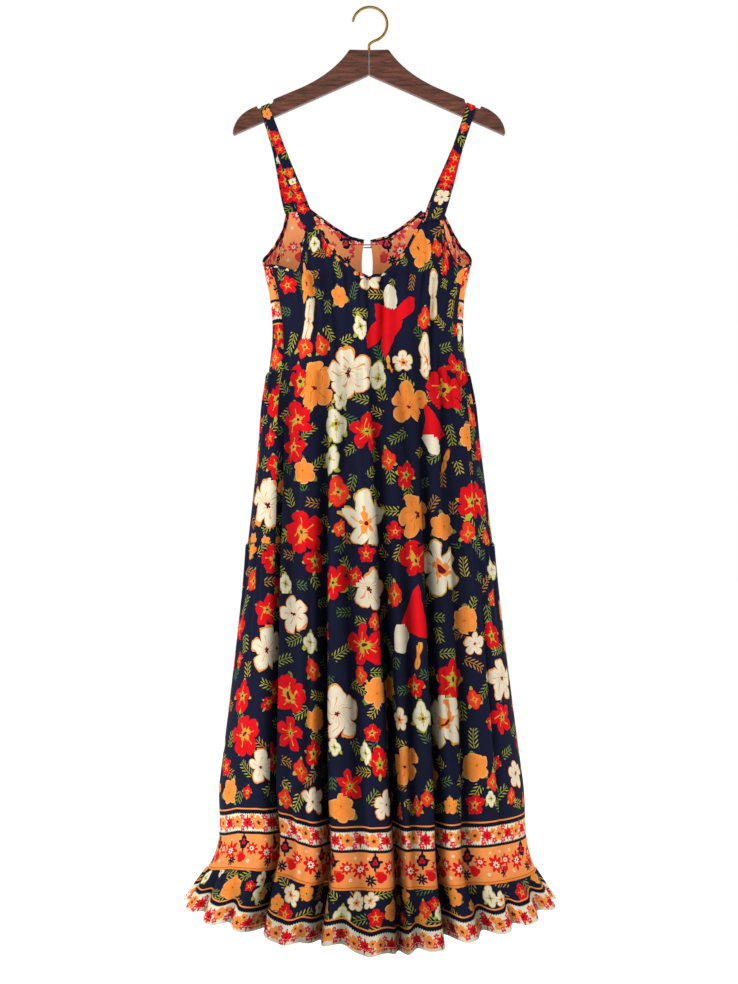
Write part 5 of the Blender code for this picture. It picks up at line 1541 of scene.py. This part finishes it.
def hanger_outline():
    """The outline of the right arm of the hanger, from the mitre out along the top and back underneath."""
    inner = MITRE_GAP / 2
    top = [(inner, HANGER_TOP), (HANGER_CREST - 0.002, HANGER_TOP)]
    top += curve_points((HANGER_CREST, HANGER_TOP - 0.002), HANGER_CREST_BEND, HANGER_ARM_START, 28)
    near, far = NOTCH_MIDDLE - NOTCH_LENGTH / 2, NOTCH_MIDDLE + NOTCH_LENGTH / 2
    notch = [
        (near, arm_height(near)),
        (near + NOTCH_SLANT, arm_height(near + NOTCH_SLANT) - NOTCH_DEPTH),
        (far - NOTCH_SLANT, arm_height(far - NOTCH_SLANT) - NOTCH_DEPTH),
        (far, arm_height(far)),
    ]
    shoulder = (HANGER_SHOULDER, arm_height(HANGER_SHOULDER))
    tip = curve_points(shoulder, HANGER_TIP_BEND, (HANGER_HALF, HANGER_TIP_HEIGHT), 18)
    toe = [(HANGER_HALF, HANGER_TOE_HEIGHT + 0.0024), (HANGER_HALF - 0.0015, HANGER_TOE_HEIGHT)]
    under = [(x, HANGER_UNDER - HANGER_UNDER_SLOPE * x) for x in (HANGER_HALF - 0.0045, inner)]
    return top + notch + tip + toe + under


def hanger_arm(name, hand, finish):
    """One arm of the hanger, cut from a board, its edges rounded over, and swept a little forward."""
    outline = hanger_outline()
    bm = bmesh.new()
    front = [bm.verts.new((hand * x, -HANGER_THICK / 2, z)) for x, z in outline]
    back = [bm.verts.new((hand * x, HANGER_THICK / 2, z)) for x, z in outline]
    bm.faces.new(front)
    bm.faces.new(back[::-1])
    for i, j in zip(range(len(outline)), [*range(1, len(outline)), 0]):
        bm.faces.new((front[i], back[i], back[j], front[j]))
    for vert in bm.verts:
        x, y, z = vert.co
        vert.co = (x, y - abs(x) * math.tan(HANGER_SWEEP), z)
    made = built(name, bm, finish, 40)
    bevel = made.modifiers.new("rounded_edges", "BEVEL")
    bevel.width = HANGER_EDGE_ROUND
    bevel.segments = 4
    bevel.limit_method = "ANGLE"
    bevel.angle_limit = math.radians(50)
    return made


def wire_mesh(name, route, radii, finish, sides=20):
    """A round wire along a route of points, with rounded ends, as a mesh."""
    curve = bpy.data.curves.new(name, "CURVE")
    curve.dimensions = "3D"
    line = curve.splines.new("POLY")
    line.points.add(len(route) - 1)
    for target, point, radius in zip(line.points, route, radii):
        target.co = (*point, 1)
        target.radius = radius
    curve.bevel_depth = 1.0
    curve.bevel_resolution = sides // 4
    curve.use_fill_caps = True
    mesh = plain_mesh(bpy.data.objects.new(name, curve))
    bpy.data.curves.remove(curve)
    return made_object(name, mesh, [finish])


def hook_route():
    """The line of the hook's wire: the tip, over the crown, in to the middle and down into the wood."""
    centre = WIRE / 2 - HOOK_RADIUS
    points = []
    for i in range(73):
        angle = HOOK_TIP - HOOK_TURN * i / 72
        x, z = HOOK_RADIUS * math.cos(angle), HOOK_RADIUS * math.sin(angle)
        points.append((HOOK_OFFSET + x, 0, centre + z))
    neck = curve_points(points[-1], (0.0004, 0, -0.0560), (0.0, 0, -0.0620), 12)[1:]
    return points + neck + [(0.0, 0, HANGER_TOP + 0.0002)]


def turned(name, profile, centre, sides, finish):
    """A round piece turned from a profile of radius and height, standing out backwards from its centre."""
    bm = bmesh.new()
    rings = []
    for radius, height in profile:
        ring = []
        for i in range(sides):
            a = 2 * math.pi * i / sides
            ring.append(bm.verts.new(np.add(centre, (radius * math.cos(a), height, radius * math.sin(a)))))
        rings.append(ring)
    for low, high in zip(rings, rings[1:]):
        for i in range(sides):
            j = (i + 1) % sides
            bm.faces.new((low[i], low[j], high[j], high[i]))
    bm.faces.new(rings[0][::-1])
    bm.faces.new(rings[-1])
    return built(name, bm, finish, 50)


def button_place():
    """The foot of the button's shank, a little right of the keyhole on the outside of the back."""
    z = KEYHOLE_TOP - BUTTON_DROP
    turn = back_edge_turn(z, 1, 0.0030)
    return cloth_point(turn, z) + cloth_normal(turn, z) * 0.0011


def loop_route():
    """The cord loop's line from the left edge of the keyhole round the button's shank."""
    z = KEYHOLE_TOP - BUTTON_DROP
    edge = cloth_point(back_edge_turn(z, -1), z)
    shank = button_place() + np.array([0, 0.0011, 0])
    reach = BUTTON_PROFILE[0][0] + LOOP_CORD / 2 + 0.0003
    root = np.array([edge[0] + LOOP_CORD / 2 - 0.0002, shank[1], edge[2]])
    route = [root + np.array([0, 0, reach])]
    for i in range(17):
        angle = math.radians(90 - i * 180 / 16)
        route.append(shank + reach * np.array([math.cos(angle), 0, math.sin(angle)]))
    return [*route, root - np.array([0, 0, reach])]


# How far the middle of a stitch lies above the strip that it is sewn through, the place on the strip's
# outline where the stitches run, how far above the hem, and how far apart they are for their length.
THREAD_LIFT = 0.00015
STITCHED_AT = (0.80, 0.96)
HEM_STITCH_RISE = 0.0045
STITCH_SPACING = 1.35


def stitch_tree(finish):
    """Geometry nodes that lay short plump stitches end to end along every line they are given."""
    tree = bpy.data.node_groups.new("stitches", "GeometryNodeTree")
    tree.interface.new_socket("Lines", in_out="INPUT", socket_type="NodeSocketGeometry")
    for name in ("Pitch", "Length", "Width"):
        tree.interface.new_socket(name, in_out="INPUT", socket_type="NodeSocketFloat")
    tree.interface.new_socket("Stitches", in_out="OUTPUT", socket_type="NodeSocketGeometry")
    lines, pitch, length, width = add(tree, "NodeGroupInput").node.outputs[:4]
    spaced = add(tree, "GeometryNodeResampleCurve", {"Curve": lines, "Length": pitch}, mode="LENGTH")
    tangent = add(tree, "GeometryNodeInputTangent")
    turned_to = add(tree, "FunctionNodeAlignRotationToVector", {"Vector": tangent}, axis="X")
    bead = add(tree, "GeometryNodeMeshIcoSphere", {"Radius": 0.5, "Subdivisions": 1})
    size = add(tree, "CombineXYZ", (length, width, width))
    laid = {"Points": spaced, "Instance": bead, "Rotation": turned_to, "Scale": size}
    stitches = add(tree, "GeometryNodeInstanceOnPoints", laid)
    real = add(tree, "GeometryNodeRealizeInstances", (stitches,))
    dyed = add(tree, "GeometryNodeSetMaterial", {"Geometry": real, "Material": finish})
    add(tree, "NodeGroupOutput", (dyed,), output=slice(0))
    return tree


def stitched(name, lines, finish, pitch, length, width):
    """Stitches along lines of points, as one plain mesh."""
    curve = bpy.data.curves.new(name, "CURVE")
    curve.dimensions = "3D"
    for points in lines:
        line = curve.splines.new("POLY")
        line.points.add(len(points) - 1)
        line.points.foreach_set("co", np.c_[points, np.ones(len(points))].astype(np.float32).reshape(-1))
    helper = bpy.data.objects.new(name + "_lines", curve)
    tree = stitch_tree(finish)
    modifier = helper.modifiers.new("stitches", "NODES")
    modifier.node_group = tree
    sizes = {"Pitch": pitch, "Length": length, "Width": width}
    for item in tree.interface.items_tree:
        if item.name in sizes:
            modifier[item.identifier] = sizes[item.name]
    return made_object(name, plain_mesh(helper), [finish])


def seam_line(start, end, height, lift=0.0007):
    """A line of points on the outside of the cloth along one height."""
    turns = even_run(start, end, 0.003, z=height)
    return cloth_point(turns, height) + cloth_normal(turns, height) * lift


def strip_lines(strip, share, face):
    """A line along the face of a strip, a share of its half width from its middle."""
    nearest = min(STRIP_OUTLINE, key=lambda place: abs(place[0] - share) + abs(place[1] - face))
    line = strip.rings[:, STRIP_OUTLINE.index(nearest)]
    return line + unit(line - strip.rings.mean(axis=1)) * THREAD_LIFT


def facing_panel(name, hand):
    """The strip of cloth that backs one edge of the keyhole."""
    heights = (KEYHOLE_TOP - 0.002 - KEYHOLE_LENGTH * np.linspace(0.02, 0.97, 26))[:, None]
    near = back_edge_turn(heights, hand, 0.0006)
    far = back_edge_turn(heights, hand, FACING_WIDTH)
    shares = np.linspace(0, 1, 6)[None, :]
    turns = near + (far - near) * (shares if hand > 0 else 1 - shares)
    panel = Panel(name, turns, np.broadcast_to(heights, turns.shape), YOKE)
    panel.up = panel.up + YOKE_FOOT
    return panel


def strap_flowers(strip, chart):
    """Lays the flowers of a strap's front on it, from the bend over the hanger down."""
    bend = strip.rings.mean(axis=1)[:, 2].argmax()
    for kind, down, half, tilt in chart:
        row = int(np.abs(strip.up[:, 0] - strip.up[bend, 0] - down * 1e-3).argmin())
        for place in (STRIP_MIDDLE,) if down > 0 else (0, len(STRIP_OUTLINE)):
            strip.flowers.append(Flower(kind, row, place, half * 1e-3, math.radians(tilt)))


def studio_floor(name, drop, radius, finish):
    """A round pale floor under the hanging dress, seen only as its plain ground."""
    bm = bmesh.new()
    middle = bm.verts.new((0, 0, drop))
    rim = []
    for i in range(96):
        angle = 2 * math.pi * i / 96
        rim.append(bm.verts.new((radius * math.cos(angle), radius * math.sin(angle), drop)))
    for i in range(96):
        bm.faces.new((middle, rim[i], rim[(i + 1) % 96]))
    mesh = bpy.data.meshes.new(name)
    bm.to_mesh(mesh)
    bm.free()
    return made_object(name, mesh, [finish])


# The soft lights: place, size, and share of the key light's power. All are turned towards the dress.
LIGHTS = (
    ("key_light", (-2.3, -2.0, 0.3), 1.7, 1.35),
    ("fill_light", (1.6, -2.6, -0.1), 2.2, 0.50),
    ("back_light", (0.6, 2.6, 0.3), 2.2, 0.60),
)
LIGHT_AIM = (0.0, 0.0, -0.75)


def soft_light(name, place, size, power):
    """A large square lamp turned towards the dress."""
    lamp = bpy.data.lights.new(name, "AREA")
    lamp.shape = "SQUARE"
    lamp.size = size
    lamp.energy = power
    made = bpy.data.objects.new(name, lamp)
    made.location = place
    direction = mathutils.Vector(LIGHT_AIM) - mathutils.Vector(place)
    made.rotation_euler = direction.to_track_quat("-Z", "Y").to_euler()
    bpy.context.scene.collection.objects.link(made)


class DressSizes(bpy.types.PropertyGroup):
    """What a maker would change about the cloth and its sewing."""

    cloth_thickness: bpy.props.FloatProperty(
        name="Cloth thickness", description="Thickness of the viscose", default=0.0007, min=0.0003, max=0.002,
        unit="LENGTH",
    )
    grid_spacing: bpy.props.FloatProperty(
        name="Grid spacing", description="How fine the cloth is made", default=0.0034, min=0.002, max=0.02,
        unit="LENGTH",
    )
    stitch_length: bpy.props.FloatProperty(
        name="Stitch length", description="Length of each stitch", default=0.0026, min=0.001, max=0.006,
        unit="LENGTH",
    )
    stitch_width: bpy.props.FloatProperty(
        name="Thread width", description="Width of the sewing thread as it is drawn", default=0.0006,
        min=0.0002, max=0.002, unit="LENGTH",
    )
    print_seed: bpy.props.IntProperty(
        name="Print seed", description="Which scatter of flowers fills the back and folds", default=7, min=0,
    )


class StudioSizes(bpy.types.PropertyGroup):
    """What a maker would change about the studio."""

    floor_drop: bpy.props.FloatProperty(
        name="Floor height", description="Height of the floor below the rail", default=-1.75, unit="LENGTH",
    )
    key_power: bpy.props.FloatProperty(
        name="Key light", description="Power of the large front light in watts", default=30.0, min=0.0,
    )
    sky_strength: bpy.props.FloatProperty(
        name="Sky strength", description="Strength of the even white surround", default=1.0, min=0.0,
    )
    front_share: bpy.props.FloatProperty(
        name="Front share", description="Brightness of the surround in front of it", default=0.30, min=0.0,
    )
    sky_colour: bpy.props.FloatVectorProperty(
        name="Sky colour", description="Colour of the surround", subtype="COLOR", size=3,
        default=(1.0, 1.0, 1.0),
    )


# The narrowest width reckoned for a strip, the share of the grid spacing that finer cloth has, and
# how thick the facings are and how far inside the back they lie.
LEAST_SHEET = 0.0101
BODICE_FINENESS = 0.65
RUFFLE_FINENESS = 0.85
FACING_THICK = 0.0006
FACING_LIFT = -0.0011


def keep(piece, *nodes, slot):
    """Fixes a finished piece to the part in place of the solids it stands for."""
    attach(piece, "root")
    if nodes:
        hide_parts(*nodes)
    return piece


def both_sides():
    """The printed side and the paler side of the cloth, the paler side brightened with painted light."""
    found = [bpy.data.materials.get(name) for name in ("printed_viscose", "printed_viscose_reverse")]
    if None in found:
        return [printed_viscose("printed_viscose"), printed_viscose("printed_viscose_reverse", reverse=True)]
    return found


class DRESS_OT_cloth(bpy.types.Operator):
    """Make the bodice, the two tiers and the ruffle as thin printed cloth"""

    bl_idname = "dress.cloth"
    bl_label = "Cloth panels"

    def execute(self, context):
        sizes = context.scene.dress_sizes
        spacing, seed = sizes.grid_spacing, sizes.print_seed
        bodice = bodice_panels(spacing * BODICE_FINENESS)
        middle = tier_panels("middle_tier", BODICE_SEAM, TIER_SEAM, MIDDLE_ROWS, spacing, 0)
        lower = tier_panels("lower_tier", TIER_SEAM, RUFFLE_SEAM, LOWER_ROWS, spacing, SKIRT)
        finer = spacing * RUFFLE_FINENESS
        ruffle = tier_panels("ruffle", RUFFLE_SEAM, HEM, RUFFLE_ROWS_DOWN, finer, HEM_EDGE)
        line = SKIRT_BORDER["line"]
        for panel in lower:
            border_flowers(panel, BAND_REPEAT, BAND_FLOWERS, 0.0, False)
            border_flowers(panel, STRIP_REPEAT, STRIP_FLOWERS, SKIRT_BORDER["low_bar"], False)
        for panel in ruffle:
            border_flowers(panel, STRIP_REPEAT, STRIP_FLOWERS, 0.0, True)
        for panel in bodice[1:]:
            strip_top = YOKE_FOOT + SKIRT_BORDER["band"] - SKIRT_BORDER["strip"]
            border_flowers(panel, STRIP_REPEAT, STRIP_FLOWERS, strip_top, False)
            for row in range(YOKE_ROWS):
                foot = YOKE_FOOT + YOKE_FIRST_ROW + row * YOKE_ROW_STEP
                border_flowers(panel, BAND_REPEAT, BAND_FLOWERS, foot, False)
        place_front_flowers([*bodice, *middle, *lower, *ruffle])
        for number, panel in enumerate([bodice[0], *middle, *lower]):
            lowest = line + ABOVE_BORDER if panel.zone == SKIRT else ANYWHERE
            large_gap, small_gap = CHARTED_GAPS if panel.name.endswith("front") else FILLED_GAPS
            fill_flowers(panel, LARGE_FILL, large_gap, FILL_TRIES, seed + number, lowest)
            fill_flowers(panel, SMALL_FILL, small_gap, FILL_TRIES, seed + 20 + number, lowest)
            fill_sprigs(panel, FILL_TRIES, seed + 40 + number, lowest)
        for number, panel in enumerate(ruffle):
            fill_flowers(panel, RUFFLE_FILL, 1.5, 2200, seed + 60 + number)
            fill_sprigs(panel, 1200, seed + 80 + number)
        for number, panel in enumerate(bodice[1:]):
            fill_flowers_below(panel, YOKE_FOOT - 0.050, seed + 90 + number)
        for panel in [*bodice, *middle, *lower, *ruffle]:
            self.make(panel, sizes.cloth_thickness)
        return {"FINISHED"}

    def make(self, panel, thick):
        level = {"bodice": (-1,), "ruffle": (0,)}.get(panel.name.split("_")[0], (0, -1))
        piece = cloth_wall(panel, thick, both_sides(), level_rows=level)
        slot = "border_print" if panel.name.startswith("bodice_back") else "floral_print"
        keep(piece, panel.name, slot=slot)
        area = panel.area()
        width = float(np.linalg.norm(np.diff(panel.points[-1], axis=0), axis=1).sum())


def fill_flowers_below(panel, top, seed):
    """Scatters flowers and sprigs below the border of the back of the bodice."""
    rng = np.random.default_rng(seed)
    rows, places = panel.up.shape
    for _ in range(900):
        kind, least, most, _share = SMALL_FILL[rng.integers(len(SMALL_FILL))]
        half = rng.uniform(float(least), float(most)) * 1.3e-3
        row, place = int(rng.integers(rows)), int(rng.integers(places))
        if panel.up[row, place] < top and panel.free(row, place, half, 1.0):
            panel.flowers.append(Flower(kind, row, place, half, rng.uniform(-0.5, 0.5)))
    fill_sprigs(panel, 500, seed + 5)


class DRESS_OT_edges(bpy.types.Operator):
    """Make the bindings, the facings of the keyhole and the straps as folded strips"""

    bl_idname = "dress.edges"
    bl_label = "Bindings and straps"

    def execute(self, context):
        sizes = context.scene.dress_sizes
        lines = []
        for number, (name, start, end) in enumerate(binding_runs()):
            strip = binding_strip(name, start, end)
            fill_flowers(strip, BINDING_FILL, 1.3, 120, 300 + number)
            self.make(strip)
            lines.append(strip_lines(strip, -STITCHED_AT[0], STITCHED_AT[1]))
        for name, hand, front, back in (
            ("strap_left", -1, FRONT_STRAP_LEFT, BACK_STRAP_LEFT),
            ("strap_right", 1, FRONT_STRAP_RIGHT, BACK_STRAP_RIGHT),
        ):
            strip = strap_strip(name, hand, front, back)
            strap_flowers(strip, STRAP_FLOWERS[name])
            fill_flowers(strip, STRAP_FILL, 1.75, 500, 320 + hand)
            fill_sprigs(strip, 300, 330 + hand)
            self.make(strip)
            for side in (-1, 1):
                lines.append(strip_lines(strip, side * STITCHED_AT[0], STITCHED_AT[1]))
        for name, hand in (("keyhole_facing_left", -1), ("keyhole_facing_right", 1)):
            panel = facing_panel(name, hand)
            fill_flowers(panel, BINDING_FILL, 1.3, 60, 340 + hand)
            piece = cloth_wall(panel, FACING_THICK, both_sides(), lift=FACING_LIFT)
            keep(piece, name, slot="floral_print")
        hem = HEM + HEM_STITCH_RISE
        around = seam_line(LEFT_SEAM_TURN + SEAM_TURN, LEFT_SEAM_TURN + 1 - SEAM_TURN, hem)
        threads = (
            ("edge_stitching", lines, "1F2244"), ("hem_stitching", [around], "E9DEC2"),
        )
        for name, found, code in threads:
            thread = spun_thread(name + "_thread", code, 0.7)
            pitch = sizes.stitch_length * STITCH_SPACING
            piece = stitched(name, found, thread, pitch, sizes.stitch_length, sizes.stitch_width)
            keep(piece, slot="floral_print")
        return {"FINISHED"}

    def make(self, strip):
        piece = keep(strip_mesh(strip, both_sides()[0]), strip.name, slot="floral_print")
        shown = max(float(np.ptp(strip.along, axis=1).mean()) / 2, LEAST_SHEET)
        round(float(np.ptp(strip.up)), 4)


class DRESS_OT_fastening(bpy.types.Operator):
    """Make the button and the cord loop at the back of the neck"""

    bl_idname = "dress.fastening"
    bl_label = "Button and loop"

    def execute(self, context):
        cord = spun_thread("dyed_cord", "16161C", 0.6)
        shell = spun_thread("dyed_button", "1A1A20", 0.35)
        keep(turned("button", BUTTON_PROFILE, button_place(), 32, shell), "neck_button", slot="dark_trim")
        route = loop_route()
        piece = wire_mesh("button_loop", route, [LOOP_CORD * 0.75] * len(route), cord, 12)
        keep(piece, "neck_loop", slot="dark_trim")
        return {"FINISHED"}


class DRESS_OT_hanger(bpy.types.Operator):
    """Make the two arms of the wooden hanger and its wire hook"""

    bl_idname = "dress.hanger"
    bl_label = "Hanger and hook"

    def execute(self, context):
        wood = stained_beech("stained_beech")
        for name, hand in (("left", -1), ("right", 1)):
            keep(hanger_arm("wooden_arm_" + name, hand, wood), "hanger_arm_" + name, slot="stained_wood")
        route = hook_route()
        radii = [WIRE / 2 * share for share in (*HOOK_TIP_TAPER, *[1.0] * (len(route) - 2))]
        keep(wire_mesh("wire_hook", route, radii, antique_brass("antique_brass")), "hook", slot="brass_wire")
        return {"FINISHED"}


class DRESS_OT_studio(bpy.types.Operator):
    """Make the pale floor, the soft lights and the camera"""

    bl_idname = "dress.studio"
    bl_label = "Studio"

    def execute(self, context):
        sizes = context.scene.studio_sizes
        studio_floor("studio_floor", sizes.floor_drop, 14.0, studio_white("studio_paper"))
        world = bpy.data.worlds.new("studio_surround")
        world.use_nodes = True
        sky = world.node_tree.nodes["Background"]
        sky.inputs["Color"].default_value = (*sizes.sky_colour, 1)
        tree = world.node_tree
        aim = add(tree, "TexCoord", output="Generated")
        behind = add(tree, "SeparateXYZ", (aim,), output=1)
        spread = {"Value": behind, "From Min": -0.3, "From Max": 0.45, "To Min": sizes.front_share}
        level = add(tree, "MapRange", spread)
        level = add(tree, "MULTIPLY", (level, sizes.sky_strength))
        tree.links.new(level, sky.inputs["Strength"])
        context.scene.world = world
        for name, place, size, share in LIGHTS:
            soft_light(name, place, size, sizes.key_power * share)
        lens = bpy.data.cameras.new("front_view")
        lens.sensor_fit = "VERTICAL"
        lens.sensor_height = 36.0
        lens.lens = 36.0 * -CAMERA_PLACE[1] / PICTURE_HEIGHT
        camera = bpy.data.objects.new("front_view", lens)
        camera.location = CAMERA_PLACE
        camera.rotation_euler = (math.pi / 2, 0, 0)
        context.scene.collection.objects.link(camera)
        context.scene.camera = camera
        context.scene.view_settings.view_transform = "Standard"
        return {"FINISHED"}


class DRESS_PT_panel(bpy.types.Panel):
    """The steps of the dress, in order"""

    bl_idname = "DRESS_PT_panel"
    bl_label = "Maxi Dress"
    bl_space_type = "VIEW_3D"
    bl_region_type = "UI"
    bl_category = "Dress"

    def draw(self, context):
        for group, owner in (("dress_sizes", DressSizes), ("studio_sizes", StudioSizes)):
            for name in owner.__annotations__:
                self.layout.prop(getattr(context.scene, group), name)
        for operator in OPERATORS:
            self.layout.operator(operator.bl_idname)


OPERATORS = (DRESS_OT_cloth, DRESS_OT_edges, DRESS_OT_fastening, DRESS_OT_hanger, DRESS_OT_studio)
CLASSES = (DressSizes, StudioSizes, *OPERATORS, DRESS_PT_panel)


def register():
    """Adds the settings, the operators and the panel."""
    for made in CLASSES:
        bpy.utils.register_class(made)
    bpy.types.Scene.dress_sizes = bpy.props.PointerProperty(type=DressSizes)
    bpy.types.Scene.studio_sizes = bpy.props.PointerProperty(type=StudioSizes)


def unregister():
    """Takes them away again."""
    del bpy.types.Scene.studio_sizes
    del bpy.types.Scene.dress_sizes
    for made in reversed(CLASSES):
        bpy.utils.unregister_class(made)


def main():
    """Makes every piece in order."""
    register()
    bpy.ops.dress.studio()
    bpy.ops.dress.hanger()
    bpy.ops.dress.cloth()
    bpy.ops.dress.edges()
    bpy.ops.dress.fastening()


if __name__ == "__main__":
    main()
